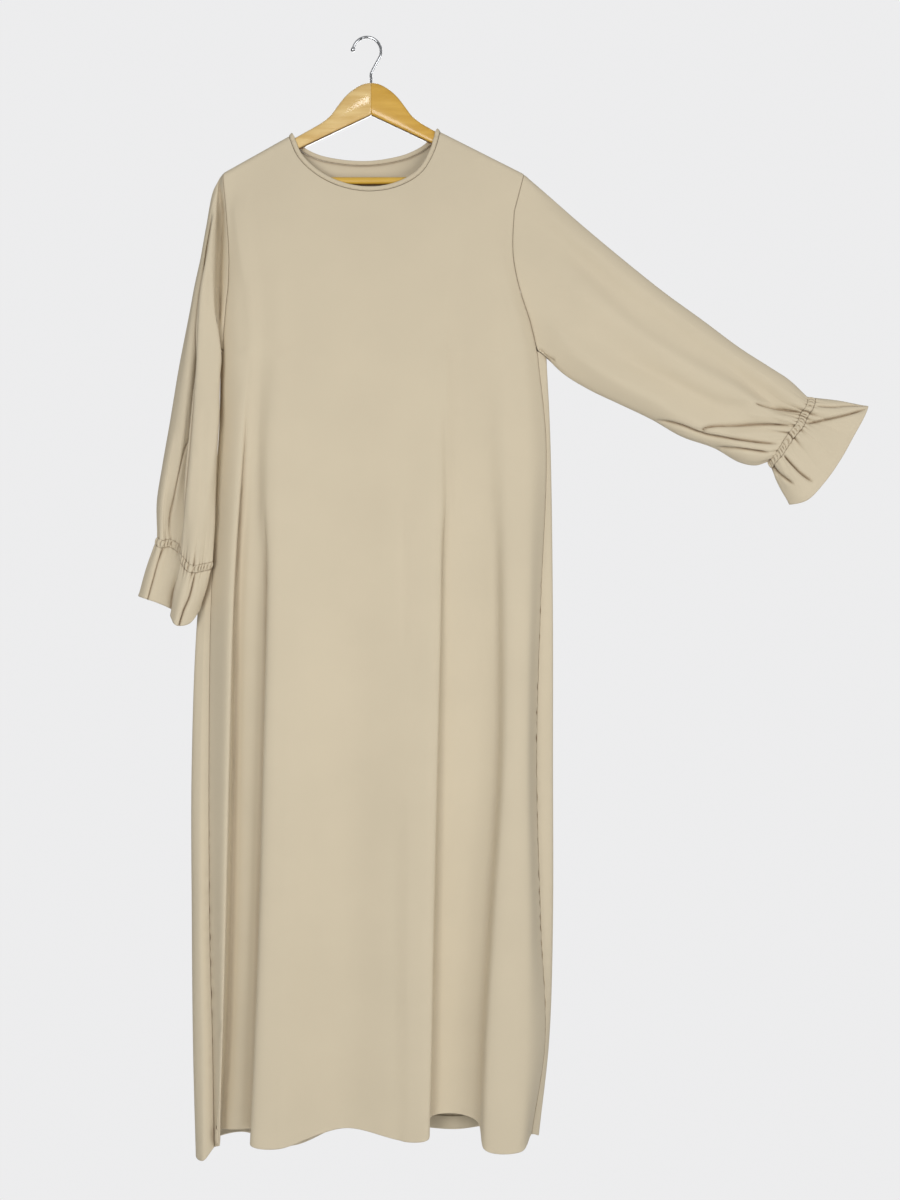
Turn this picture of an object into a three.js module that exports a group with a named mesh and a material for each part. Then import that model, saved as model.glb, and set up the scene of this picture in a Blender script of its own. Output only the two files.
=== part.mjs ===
// A plain long abaya hanging on a wooden hanger with a wire hook.
// Units are millimetres. +Z is up, the front faces -Y, and +X is to the right as seen from the front.
// The origin is the inner top of the hook's crown, where it bears on a rail.
// In the tables a "drop" is a distance straight down from the origin, and a "depth" is a distance
// towards the front from the plane of the hook.
import * as THREE from 'three';

// ---- driving sizes ----
const CLOTH = 1.5;                 // wall of one layer of crepe, with its crimp
const BAND_CLOTH = 2.2;            // two layers, as in the neck binding and the gathered channels
const SEAM_GAP = 0.3;

const HANGER_CENTRE = 6;           // the hook's stem and the joint of the two arms, along X
const ARM_THICKNESS = 13;
const ARM_SWEEP = 0.04;            // the arms come forward by this share of the distance from the joint
const ARM_REACH = 207;             // from the joint to the tip
const BAR_RADIUS = 6;
const BAR_DROP = 206;
const WIRE_RADIUS = 2;
const HOOK_RADIUS = 20;            // of the wire's centre line
const WOOD_TOP_DROP = 63.5;

const SHOULDER_LEFT = { neck: [-111, 142], tip: [-204, 195.5] };   // [x, drop]
const SHOULDER_RIGHT = { neck: [105, 135.5], tip: [224, 197] };
const NECKLINE_FRONT = [[-111, 142], [-98, 172], [-72, 198], [-37, 216], [4, 223], [45, 216], [78, 196], [96, 166],
  [105, 135.5]];                   // [x, drop] of the seam, from left to right
const NECKLINE_BACK = [[-111, 142], [-97, 158], [-74, 170], [-40, 177], [-5, 179], [29, 176], [62, 168], [88, 154],
  [105, 135.5]];
const NECK_YOKE = [-132, 130];     // where the threads from the neck points cross the yoke
const BINDING_WIDTH = 7;
const SHOULDER_ROLL = 9;           // how far down the cloth turns over the arm's top edge
const SHOULDER_DEPTH = 8.5;        // half the cloth's depth over the arm

const YOKE_DROP = 250;
const CHEST_DROP = 448;            // the side seams start here, at the underarm
const HEM_DROP = 1570;
const UNDERARM_DIP = 9;            // the held sleeve pulls its underarm down this far

// ---- the body, as stations round it ----
// Each row is a point that runs down the cloth: a fold's crest, its foot, or a seam.
// x and depth are given at LEVELS, and hem is the drop of the cloth's lower edge there.
const LEVELS = [448, 588, 803, 1032, 1272, 1432, 1570];
const FRONT_STATIONS = [
  { name: 'seam_left', x: [-205, -211, -222, -224, -222, -217, -214], depth: [8, 5, 6, 14, 20, 27, 34], hem: 1574 },
  { name: 'fold_1', x: [-170, -176, -188, -193.5, -198, -201.5, -206.5], depth: [24, 28, 32, 36, 40, 42, 44], hem: 1568 },
  { name: 'dip_1a', x: [-153, -162, -175.6, -182.5, -188, -192.5, -199.5], depth: [24, 22, 22, 23, 24, 25, 26], hem: 1555 },
  { name: 'dip_1b', x: [-147, -153, -152.6, -156.5, -160.5, -165.5, -169.5], depth: [24, 22, 22, 23, 24, 25, 26], hem: 1553 },
  { name: 'fold_2a', x: [-127, -137, -136.6, -141.5, -147.5, -154.5, -160.5], depth: [26, 31, 38, 44, 49, 52, 55], hem: 1565 },
  { name: 'fold_2b', x: [-99, -104, -109, -114, -119, -123, -123], depth: [27, 32, 40, 47, 52, 55, 58], hem: 1569 },
  { name: 'dip_2', x: [-23, -23, -23, -24, -26, -27, -29], depth: [28, 28, 28, 29, 30, 30, 30], hem: 1548 },
  { name: 'fold_3a', x: [55, 55, 60, 62, 63, 63, 61], depth: [28, 31, 36, 42, 46, 48, 50], hem: 1562 },
  { name: 'fold_3b', x: [101, 103, 106, 102, 96.5, 94, 90], depth: [27, 31, 36, 41, 45, 48, 50], hem: 1557 },
  { name: 'dip_3a', x: [117, 115, 116, 111, 104.5, 102, 98], depth: [25, 23, 22, 22, 23, 24, 25], hem: 1532 },
  { name: 'dip_3b', x: [171, 171, 176, 176, 164, 156, 152], depth: [25, 23, 22, 22, 23, 24, 25], hem: 1537 },
  { name: 'fold_4a', x: [200, 198.5, 201.5, 198, 182, 172, 168], depth: [24, 30, 37, 43, 49, 53, 56], hem: 1571 },
  { name: 'fold_4b', x: [224, 232, 229, 226, 228, 226, 218], depth: [20, 26, 33, 40, 46, 50, 53], hem: 1574 },
  { name: 'seam_right', x: [243, 256, 248, 242, 248, 254, 235], depth: [8, 8, 10, 12, 14, 14, 14], hem: 1562 },
];
const BACK_STATIONS = [
  { name: 'edge_right', x: [256, 262, 265, 265, 265, 260, 245], depth: [2, 2, 2, 2, 2, 2, 2], hem: 1567 },
  { name: 'turn_right', x: [241, 248, 250, 250, 250, 246, 235], depth: [-14, -15, -18, -22, -26, -28, -30], hem: 1568 },
  { name: 'fold_5', x: [198, 198, 198, 198, 197, 191, 187], depth: [-22, -24, -28, -34, -40, -42, -44], hem: 1566 },
  { name: 'dip_5', x: [126, 126, 126, 126, 126, 126, 126], depth: [-24, -23, -22, -20, -18, -17, -16], hem: 1564 },
  { name: 'fold_6', x: [43, 43, 43, 43, 43, 43, 43], depth: [-25, -27, -30, -34, -38, -40, -42], hem: 1566 },
  { name: 'fold_7', x: [-34, -34, -34, -34, -34, -35, -35], depth: [-26, -30, -36, -42, -48, -50, -52], hem: 1570 },
  { name: 'dip_7', x: [-112, -112, -112, -112, -112, -112, -112], depth: [-24, -24, -23, -22, -20, -18, -16], hem: 1588 },
  { name: 'fold_8', x: [-175, -179, -182, -186, -186, -185, -184], depth: [-20, -23, -28, -34, -38, -40, -42], hem: 1576 },
  { name: 'turn_left', x: [-197, -201, -219, -232, -233, -230, -227], depth: [-12, -14, -17, -20, -20, -18, -14], hem: 1580 },
  { name: 'edge_left', x: [-208, -213, -240, -249, -248, -245, -240], depth: [0, -2, 0, 6, 12, 20, 28], hem: 1589 },
  { name: 'lap_left', x: [-207, -212, -231, -237, -235, -231, -228], depth: [5, 2, 4, 14, 24, 32, 42], hem: 1590 },
];
const RING = [...FRONT_STATIONS, ...BACK_STATIONS];
const SEAM_LEFT = 0;
const NECK_LEFT = 5;               // the station under each neck point
const NECK_RIGHT = 8;
const SEAM_RIGHT = 13;
const TURN_RIGHT = 15;             // the back armholes come down to these two stations
const BACK_NECK_RIGHT = 17;
const BACK_NECK_LEFT = 20;
const TURN_LEFT = 22;
const RING_END = RING.length;      // the left side seam again

// Where the armholes run between the yoke and the underarm: [drop, x].
const ARMHOLES = {
  frontLeft: [[YOKE_DROP, -199.5], [306, -196], [353, -197], [380, -200], [424, -204], [CHEST_DROP, -205]],
  frontRight: [[YOKE_DROP, 210], [288, 208], [316, 209], [348, 215], [376, 223], [406, 233], [CHEST_DROP, 243]],
  backRight: [[YOKE_DROP, 214], [300, 213], [350, 218], [400, 230], [CHEST_DROP, 241]],
  backLeft: [[YOKE_DROP, -201], [300, -200], [350, -200], [400, -199], [CHEST_DROP, -197]],
};
const YOKE_DEPTH = { front: 20, frontEdge: 14, back: -14, backEdge: -5 };

// ---- the sleeves, as loops from the armhole down to the gathered line ----
// Each loop runs down the front from top to under, and back up behind.
// at is the share of the way from top to under, and depth is the cloth's depth there.
// A third number moves the cloth sideways: the sleeve's inner fold lies over the body's edge.
// The hanging sleeve falls in two deep folds; top and under are [x, drop].
const HANGING_LOOPS = [
  { top: [-209.5, 201], under: [-213.5, 452], shape: [[0, 4], [0.05, 8], [0.1, 8], [0.16, 6], [0.24, 3], [0.55, 2],
    [0.92, 6], [1, -2], [0.92, -10], [0.5, -10], [0.2, -5]] },
  { top: [-213, 208], under: [-214.5, 463], shape: [[0, 5], [0.05, 12], [0.1, 13], [0.15, 13], [0.22, 15], [0.5, 15],
    [0.9, 12], [1, 0], [0.91, -10], [0.5, -13], [0.18, -7]] },
  { top: [-219, 221], under: [-215, 476], shape: [[0, 6], [0.06, 13], [0.1, 14], [0.14, 15], [0.2, 20], [0.5, 21],
    [0.87, 18, 6], [1, 4], [0.88, -9], [0.5, -14], [0.15, -8]] },
  { top: [-229, 270], under: [-213.5, 487], shape: [[0, 3], [0.05, 9], [0.1, 10], [0.14, 10], [0.2, 20], [0.5, 25],
    [0.85, 22, 10], [1, 8], [0.86, -8], [0.5, -14], [0.15, -10]] },
  { top: [-239, 325], under: [-213, 504], shape: [[0, 2], [0.07, 9], [0.13, 10], [0.19, 10], [0.25, 22], [0.55, 29],
    [0.85, 25, 10], [1, 10], [0.88, -4], [0.5, -13], [0.12, -11]] },
  { top: [-250, 381], under: [-212.5, 524], shape: [[0, 2], [0.08, 10], [0.18, 11], [0.28, 10], [0.34, 24],
    [0.6, 31], [0.85, 27, 10], [1, 12], [0.88, 1], [0.5, -10], [0.12, -11]] },
  { top: [-259, 425], under: [-211, 548], shape: [[0, 2], [0.1, 12], [0.22, 13], [0.36, 10], [0.42, 26], [0.65, 34],
    [0.87, 30, 9], [1, 16], [0.88, 8], [0.5, -5], [0.12, -10]] },
  { top: [-268, 471], under: [-211.5, 578], shape: [[0, 2], [0.12, 14], [0.27, 14], [0.41, 11], [0.47, 28],
    [0.68, 36], [0.88, 32, 8], [1, 20], [0.88, 12], [0.5, -1], [0.12, -9]] },
  { top: [-280, 544], under: [-212.5, 614], shape: [[0, 2], [0.14, 16], [0.34, 13], [0.45, 12], [0.5, 30],
    [0.7, 38], [0.88, 34, 6], [1, 23], [0.88, 13], [0.5, 5], [0.12, -7]] },
  { top: [-292, 615], under: [-214, 655], shape: [[0, 2], [0.14, 17], [0.305, 12], [0.48, 12], [0.53, 31],
    [0.72, 39], [0.88, 35, 3], [1, 23], [0.88, 13], [0.5, 8], [0.12, -5]] },
  { top: [-299, 665], under: [-214.5, 690], shape: [[0, 3], [0.12, 17], [0.27, 10], [0.49, 12], [0.54, 31],
    [0.72, 39], [0.88, 35], [1, 24], [0.88, 14], [0.5, 9], [0.12, -4]] },
];
// The gathered channel of the hanging sleeve, as knots of [x, drop, depth] in the same order.
const HANGING_GATHER = [
  [-297, 713, 6], [-289, 718, 15], [-280, 716, 8], [-264, 726, 13], [-260, 738, 26], [-246, 753, 33],
  [-233, 752, 30], [-219, 748, 21], [-225, 743, 12], [-250, 734, 9], [-282, 719, 0],
];
const HANGING_FRILL_HEM = [
  [-325, 797, 8], [-312, 801, 21], [-298, 806, 15], [-280, 815, 15], [-276, 826, 27], [-267, 838, 36],
  [-250, 836, 30], [-236, 812, 14], [-246, 812, 4], [-276, 813, -4], [-308, 802, -3],
];
// The held sleeve is a flattened tube drawn out to the side.
const HELD_LOOPS = [
  { top: [258, 226], under: [282, 480], shape: [[0, 6], [0.1, 14], [0.25, 12], [0.45, 17], [0.66, 15], [0.88, 17],
    [1, 2], [0.85, -14], [0.5, -16], [0.15, -8]] },
  { top: [303, 265], under: [318, 502], shape: [[0, 4], [0.1, 15], [0.25, 13], [0.45, 22], [0.66, 18], [0.88, 21],
    [1, 2], [0.85, -15], [0.5, -18], [0.15, -10]] },
  { top: [363, 315], under: [360, 522], shape: [[0, 3], [0.1, 15], [0.25, 14], [0.45, 24], [0.66, 18], [0.88, 22],
    [1, 2], [0.85, -15], [0.5, -18], [0.15, -11]] },
  { top: [422, 362], under: [404, 543], shape: [[0, 2], [0.1, 15], [0.25, 14], [0.45, 25], [0.66, 17], [0.88, 22],
    [1, 2], [0.85, -15], [0.5, -19], [0.15, -11]] },
  { top: [481, 405], under: [450, 569], shape: [[0, 2], [0.1, 15], [0.25, 15], [0.45, 26], [0.66, 17], [0.88, 22],
    [1, 2], [0.85, -15], [0.5, -19], [0.15, -11]] },
  { top: [532, 443], under: [495, 585], shape: [[0, 2], [0.1, 15], [0.25, 15], [0.42, 25], [0.66, 16], [0.88, 22],
    [1, 2], [0.85, -14], [0.5, -18], [0.15, -11]] },
  { top: [574, 470], under: [533, 606], shape: [[0, 2], [0.12, 16], [0.3, 13], [0.42, 22], [0.62, 15], [0.86, 22],
    [1, 2], [0.85, -14], [0.5, -17], [0.15, -11]] },
  { top: [603, 489], under: [556, 610], shape: [[0, 1], [0.14, 16], [0.33, 11], [0.44, 19], [0.6, 14], [0.84, 18],
    [1, 1], [0.85, -13], [0.5, -16], [0.15, -10]] },
];
const HELD_GATHER = [
  [629, 514, 0], [626, 524, 12], [617, 539, 10], [611, 551, 15], [600, 565, 13], [585, 588, 15],
  [573.5, 604, 0], [582, 591, -11], [599, 566, -13], [621, 530, -9],
];
const HELD_FRILL_HEM = [
  [716, 526, 1], [710, 539, 9], [692, 571, 13], [673, 603, 19], [650, 636, 17], [625, 661, 18],
  [603, 666, 4], [624, 655, -10], [661, 612, -14], [702, 548, -9],
];
const GATHER_WIDTH = 11;

// ---- how finely the cloth is cut into faces ----
const BODY_COLUMNS_PER_STATION = 2;
const NECK_SHARES = [0, 0.012, 0.03, 0.055, 0.1, 0.17, 0.26, 0.37, 0.5, 0.63, 0.74, 0.83, 0.9, 0.945, 0.97, 0.988, 1];
const YOKE_ROWS = [0, 0.03, 0.08, 0.17, 0.36, 0.66, 1];
const ARMHOLE_DROPS = [250, 300, 348, 395, 425, CHEST_DROP];
const SKIRT_DROPS = [448, 488, 550, 640, 750, 880, 1010, 1150, 1285, 1410, 1505, 1570];
const LOOP_POINTS_PER_KNOT = 2;
const FRILL_STEPS = [0, 0.3, 0.65, 1];

// ---- small tools ----
const lerp = (a, b, t) => a + (b - a) * t;
const clamp01 = (t) => Math.min(1, Math.max(0, t));
const smooth = (t) => clamp01(t) ** 2 * (3 - 2 * clamp01(t));
const smoothBetween = (low, high, value) => smooth((value - low) / (high - low));
const point = (x, drop, depth) => new THREE.Vector3(x, -depth, -drop);

// A smooth curve through [position, value] stops.
function through(stops, at) {
  const last = stops.length - 1;
  let i = stops.findIndex((stop) => at <= stop[0]) - 1;
  if (i === -2) i = last - 1;
  i = Math.max(0, Math.min(last - 1, i));
  const slope = (k) => {
    const low = Math.max(0, k - 1);
    const high = Math.min(last, k + 1);
    return (stops[high][1] - stops[low][1]) / (stops[high][0] - stops[low][0]);
  };
  const width = stops[i + 1][0] - stops[i][0];
  const t = clamp01((at - stops[i][0]) / width);
  const h = [(1 + 2 * t) * (1 - t) ** 2, t * (1 - t) ** 2, t * t * (3 - 2 * t), t * t * (t - 1)];
  return h[0] * stops[i][1] + h[1] * width * slope(i) + h[2] * stops[i + 1][1] + h[3] * width * slope(i + 1);
}

// Straight lines through [position, value] stops that may run either way.
function straight(stops, at) {
  const way = Math.sign(stops.at(-1)[0] - stops[0][0]);
  let i = 0;
  while (i + 2 < stops.length && way * (at - stops[i + 1][0]) > 0) i += 1;
  return lerp(stops[i][1], stops[i + 1][1], (at - stops[i][0]) / (stops[i + 1][0] - stops[i][0]));
}

// A closed solid wall of the given thickness on a sheet of faces.
// Each vertex is { p, n? }: a place, and the wall's direction where it is fixed.
function wall(vertices, faces, thickness) {
  const triangles = faces.flatMap((f) => (f.length === 4 ? [[f[0], f[1], f[2]], [f[0], f[2], f[3]]] : [f]));
  const normals = vertices.map(() => new THREE.Vector3());
  for (const [a, b, c] of triangles) {
    const ab = vertices[b].p.clone().sub(vertices[a].p);
    const ac = vertices[c].p.clone().sub(vertices[a].p);
    const n = ab.cross(ac);
    for (const v of [a, b, c]) normals[v].add(n);
  }
  const agreement = vertices.reduce((sum, { n }, k) => sum + (n ? Math.sign(n.dot(normals[k])) : 0), 0);
  const positions = [];
  for (const side of [1, -1]) {
    vertices.forEach(({ p, n }, k) => {
      const direction = n ? n.clone().multiplyScalar(agreement < 0 ? -1 : 1) : normals[k].clone();
      const moved = p.clone().addScaledVector(direction.normalize(), side * thickness / 2);
      positions.push(moved.x, moved.y, moved.z);
    });
  }
  const index = [];
  const count = vertices.length;
  const edges = new Set();
  for (const [a, b, c] of triangles) {
    index.push(a, b, c, a + count, c + count, b + count);
    for (const [i, j] of [[a, b], [b, c], [c, a]]) edges.add(`${i},${j}`);
  }
  for (const edge of edges) {
    const [i, j] = edge.split(',').map(Number);
    if (!edges.has(`${j},${i}`)) index.push(j, i, i + count, j, i + count, j + count);
  }
  const geometry = new THREE.BufferGeometry();
  geometry.setAttribute('position', new THREE.Float32BufferAttribute(positions, 3));
  geometry.setIndex(index);
  geometry.computeVertexNormals();
  return geometry;
}

// Faces between rows of vertex numbers; closed joins each row's end to its start.
function rowsOfFaces(rows, closed = false) {
  const faces = [];
  for (let r = 0; r + 1 < rows.length; r += 1) {
    const count = rows[r].length;
    for (let c = 0; c < (closed ? count : count - 1); c += 1) {
      const d = (c + 1) % count;
      faces.push([rows[r][c], rows[r + 1][c], rows[r + 1][d], rows[r][d]]);
    }
  }
  return faces;
}

// Triangles between two closed loops whose points sit at shares from 0 to 1 round them.
function zip(upper, upperAt, lower, lowerAt) {
  const faces = [];
  let i = 0;
  let j = 0;
  const at = (list, k) => (k < list.length ? list[k] : 1 + list[k - list.length]);
  while (i < upper.length || j < lower.length) {
    const a = upper[i % upper.length];
    const b = lower[j % lower.length];
    if (j >= lower.length || (i < upper.length && at(upperAt, i + 1) <= at(lowerAt, j + 1))) {
      i += 1;
      faces.push([a, b, upper[i % upper.length]]);
    } else {
      j += 1;
      faces.push([a, b, lower[j % lower.length]]);
    }
  }
  return faces;
}

// ---- the body's surface ----
const spread = (u) => Math.abs(u - HANGER_CENTRE);

// The shoulder seam's drop at x, carried on towards the neck.
function shoulderDrop(x) {
  const { neck, tip } = x < HANGER_CENTRE ? SHOULDER_LEFT : SHOULDER_RIGHT;
  return neck[1] + ((x - neck[0]) / (tip[0] - neck[0])) * (tip[1] - neck[1]);
}

// A smooth closed line round the body at one level below the underarm.
function ringAt(level) {
  const hemShare = smoothBetween(1150, HEM_DROP, level) ** 1.5;
  const knots = RING.map((station) => {
    const x = through(LEVELS.map((l, k) => [l, station.x[k]]), level);
    const depth = through(LEVELS.map((l, k) => [l, station.depth[k]]), level);
    const dip = station.name === 'edge_right' ? UNDERARM_DIP * (1 - smoothBetween(CHEST_DROP, 540, level)) : 0;
    return point(x, level + (station.hem - HEM_DROP) * hemShare + dip, depth);
  });
  return new THREE.CatmullRomCurve3(knots, true, 'centripetal');
}
const chestRing = ringAt(CHEST_DROP);
const onChest = (station) => chestRing.getPoint(station / RING_END);

// The neck seam at a share of its length from the left neck point to the right one.
const necklines = [NECKLINE_BACK, NECKLINE_FRONT].map((knots) => (
  new THREE.CatmullRomCurve3(knots.map(([x, drop]) => point(x, drop, 0)), false, 'centripetal')
));
function neckPoint(share, isFront) {
  const { x, z } = necklines[Number(isFront)].getPointAt(clamp01(share));
  return [x, -z];
}

// The body above the underarm. side is front or back, station is the place round the ring.
const UPPER = {
  front: { left: SEAM_LEFT, neckLeft: NECK_LEFT, neckRight: NECK_RIGHT, right: SEAM_RIGHT, sign: 1,
    armLeft: ARMHOLES.frontLeft, armRight: ARMHOLES.frontRight },
  back: { left: TURN_LEFT, neckLeft: BACK_NECK_LEFT, neckRight: BACK_NECK_RIGHT, right: TURN_RIGHT, sign: -1,
    armLeft: ARMHOLES.backLeft, armRight: ARMHOLES.backRight },
};

// How far along the neck seam a station stands, from the left neck point to the right one.
function neckShare(side, station) {
  const { neckLeft, neckRight } = UPPER[side];
  const step = ((station - neckLeft) / (neckRight - neckLeft)) * (NECK_SHARES.length - 1);
  const low = Math.max(0, Math.min(NECK_SHARES.length - 2, Math.floor(step)));
  return lerp(NECK_SHARES[low], NECK_SHARES[low + 1], step - low);
}

function topOutline(side, station) {
  const { left, neckLeft, neckRight, right } = UPPER[side];
  const share = (from, to) => (onChest(station).x - onChest(from).x) / (onChest(to).x - onChest(from).x);
  if ((station - neckLeft) * (left - neckLeft) >= 0) {
    const t = clamp01(share(left, neckLeft));
    return [lerp(SHOULDER_LEFT.tip[0], SHOULDER_LEFT.neck[0], t), lerp(SHOULDER_LEFT.tip[1], SHOULDER_LEFT.neck[1], t)];
  }
  if ((station - neckRight) * (right - neckRight) >= 0) {
    const t = clamp01(share(neckRight, right));
    return [lerp(SHOULDER_RIGHT.neck[0], SHOULDER_RIGHT.tip[0], t), lerp(SHOULDER_RIGHT.neck[1], SHOULDER_RIGHT.tip[1], t)];
  }
  return neckPoint(neckShare(side, station), side === 'front');
}

function yokeDepth(side, share) {
  const middle = side === 'front' ? YOKE_DEPTH.front : YOKE_DEPTH.back;
  const edge = side === 'front' ? YOKE_DEPTH.frontEdge : YOKE_DEPTH.backEdge;
  return lerp(edge, middle, smooth(Math.min(share, 1 - share) / 0.16));
}

// Columns spread evenly over the yoke and turn to their place on the chest.
function upperPoint(side, station, drop) {
  const { left, neckLeft, neckRight, right, sign, armLeft, armRight } = UPPER[side];
  const chest = onChest(station);
  const share = (chest.x - onChest(left).x) / (onChest(right).x - onChest(left).x);
  const yokeStops = [[left, armLeft[0][1]], [neckLeft, NECK_YOKE[0]], [neckRight, NECK_YOKE[1]], [right, armRight[0][1]]];
  const turned = smoothBetween(YOKE_DROP, CHEST_DROP, drop);
  const spaced = (place) => {
    const t = (place - neckLeft) / (neckRight - neckLeft);
    return t > 0 && t < 1 ? lerp(neckLeft, neckRight, (t + neckShare(side, place)) / 2) : place;
  };
  const columnX = (place) => lerp(straight(yokeStops, spaced(place)), onChest(place).x, turned);
  const pullLeft = (through(armLeft, drop) - columnX(left)) * (1 - share) ** 4;
  const pullRight = (through(armRight, drop) - columnX(right)) * share ** 4;
  const w = smoothBetween(YOKE_DROP - 40, CHEST_DROP, drop);
  return { x: columnX(station) + pullLeft + pullRight, depth: lerp(yokeDepth(side, share), -chest.y, w), sign };
}

// Between the top outline (v = 0) and the yoke (v = 1).
function yokePoint(side, station, v) {
  const [topX, topDrop] = topOutline(side, station);
  const yoke = upperPoint(side, station, YOKE_DROP);
  const x = lerp(topX, yoke.x, v);
  const drop = lerp(topDrop, YOKE_DROP, v);
  const below = Math.max(0, drop - shoulderDrop(x));
  const rolled = Math.sqrt(1 - (1 - clamp01(below / SHOULDER_ROLL)) ** 2);
  const overArm = ARM_SWEEP * spread(x) + yoke.sign * (SEAM_GAP / 2 + (SHOULDER_DEPTH - SEAM_GAP / 2) * rolled);
  const w = smooth((below - SHOULDER_ROLL) / Math.max(10, YOKE_DROP - shoulderDrop(x) - SHOULDER_ROLL));
  return point(x, drop, lerp(overArm, yoke.depth, w));
}

function bodyPoint(side, station, row) {
  if (row.v !== undefined) return yokePoint(side, station, row.v);
  if (row.drop < CHEST_DROP) {
    const { x, depth } = upperPoint(side, station, row.drop);
    return point(x, row.drop, depth);
  }
  return ringAt(row.drop).getPoint((station % RING_END) / RING_END);
}

// The wall's direction where the body meets another piece, from the surface's own slopes.
function bodyDirection(side, station, row) {
  const small = 0.04;
  const along = bodyPoint(side, station + small, row).sub(bodyPoint(side, station - small, row));
  const step = row.v !== undefined ? { v: row.v + small } : { drop: row.drop + 2 };
  const down = bodyPoint(side, station, step).sub(bodyPoint(side, station, row));
  const n = along.cross(down).normalize();
  const onShoulder = row.v === 0 && bodyPoint(side, station, row).z > -shoulderDrop(bodyPoint(side, station, row).x) - 1;
  if (onShoulder) n.setY(0).normalize();
  return n;
}

// Columns as places round the ring, closer together under the neckline.
function columnsOf(from, neckFrom, neckTo, to) {
  const run = (a, b, count) => Array.from({ length: count }, (_, k) => lerp(a, b, k / count));
  const per = BODY_COLUMNS_PER_STATION;
  return [
    ...run(from, neckFrom, Math.abs(neckFrom - from) * per),
    ...run(neckFrom, neckTo, NECK_SHARES.length - 1),
    ...run(neckTo, to, Math.abs(to - neckTo) * per),
    to,
  ];
}
const YOKE = YOKE_ROWS.map((v) => ({ v }));
const ARMHOLE = ARMHOLE_DROPS.slice(1, -1).map((drop) => ({ drop }));
const SKIRT = SKIRT_DROPS.map((drop) => ({ drop }));
const frontColumns = columnsOf(SEAM_LEFT, NECK_LEFT, NECK_RIGHT, SEAM_RIGHT);
const backUpperColumns = columnsOf(TURN_RIGHT, BACK_NECK_RIGHT, BACK_NECK_LEFT, TURN_LEFT);
const backColumns = [
  ...[0, 0.5, 1, 1.5].map((s) => SEAM_RIGHT + s),
  ...backUpperColumns,
  ...[0.5, 1, 1.5, 2, 2.5, 3].map((s) => TURN_LEFT + s),
];

// One panel. Rows below the underarm take all of its columns, rows above take only the upper ones.
function panel(side, columns, upperColumns, ends) {
  const vertices = [];
  const number = (list, row) => list.map((station) => {
    vertices.push({ p: bodyPoint(side, station, row), n: bodyDirection(side, station, row) });
    return vertices.length - 1;
  });
  const upper = [...YOKE, ...ARMHOLE].map((row) => number(upperColumns, row));
  const lower = SKIRT.map((row) => number(columns, row));
  const start = columns.indexOf(upperColumns[0]);
  const joined = lower[0].slice(start, start + upperColumns.length);
  for (const row of lower) {
    for (const [end, next] of [[row[0], row[1]], [row.at(-1), row.at(-2)]]) {
      const inward = vertices[next].p.clone().sub(vertices[end].p).normalize();
      if (ends) vertices[end].p.addScaledVector(inward, SEAM_GAP / 2);
    }
  }
  const faces = [...rowsOfFaces([...upper, joined]), ...rowsOfFaces(lower)];
  return { vertices, faces, upper, lower, start, joined };
}
const front = panel('front', frontColumns, frontColumns, true);
const back = panel('back', backColumns, backUpperColumns, true);

// ---- edges that other pieces are sewn to ----
// Each edge point is { p, n, out }: the place, the wall's direction, and the way on from the panel.
function edgePoints(piece, numbers, inner, fixedOut) {
  return numbers.map((number, k) => {
    const { p, n } = piece.vertices[number];
    const before = piece.vertices[numbers[Math.max(0, k - 1)]].p;
    const after = piece.vertices[numbers[Math.min(numbers.length - 1, k + 1)]].p;
    const along = after.clone().sub(before);
    const out = fixedOut ? fixedOut.clone() : along.cross(n).normalize();
    if (out.dot(p.clone().sub(piece.vertices[inner[k]].p)) < 0) out.negate();
    return { p: p.clone(), n: n.clone(), out };
  });
}
const column = (piece, k) => [...piece.upper.map((row) => row.at(k)), piece.joined.at(k)];
const UP = new THREE.Vector3(0, 0, 1);

// The armhole as one closed loop: down the front, under the arm, up the back.
function armhole(isLeft) {
  const frontEdge = edgePoints(front, column(front, isLeft ? 0 : -1), column(front, isLeft ? 1 : -2));
  const backEdge = edgePoints(back, column(back, isLeft ? -1 : 0), column(back, isLeft ? -2 : 1)).reverse();
  const row = back.lower[0];
  const strip = isLeft ? row.slice(back.start + back.joined.length, -1).reverse() : row.slice(1, back.start);
  const below = strip.map((number) => back.lower[1][row.indexOf(number)]);
  const under = edgePoints(back, strip, below, UP);
  for (const edge of under) {
    const outward = edge.n.clone();
    edge.p.addScaledVector(UP, SEAM_GAP + CLOTH / 2 + 0.15);
    edge.out = outward.dot(new THREE.Vector3(isLeft ? -1 : 1, 0, 0)) < 0 ? outward.negate() : outward;
    edge.n = UP.clone();
  }
  for (const corner of [frontEdge.at(-1), backEdge[0]]) {
    corner.p.addScaledVector(UP, 2.2);
    corner.p.x += isLeft ? -0.6 : 0.6;
    corner.n.add(UP).normalize();
  }
  backEdge.pop();
  frontEdge[0].p.y = -ARM_SWEEP * spread(frontEdge[0].p.x);
  return { frontEdge, under, backEdge };
}

// ---- tubes: sleeves, gathered channels and frills ----
function closedLine(knots) {
  return new THREE.CatmullRomCurve3(knots.map(([x, drop, depth]) => point(x, drop, depth)), true, 'centripetal');
}
function loopKnots({ top, under, shape }) {
  return shape.map(([at, depth, aside = 0]) => [lerp(top[0], under[0], at) + aside, lerp(top[1], under[1], at), depth]);
}
function loopPoints(knots) {
  const count = knots.length * LOOP_POINTS_PER_KNOT;
  const line = closedLine(knots);
  return Array.from({ length: count }, (_, k) => line.getPoint(k / count));
}
// The same loop with the wall's direction square to it and to the way the cloth runs on.
function squareLoop(knots, onward) {
  const places = loopPoints(knots);
  const aims = loopPoints(onward);
  return places.map((p, k) => {
    const along = places.at((k + 1) % places.length).clone().sub(places.at(k - 1));
    const way = aims[k].clone().sub(p);
    return { p, n: along.cross(way).normalize() };
  });
}

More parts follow.
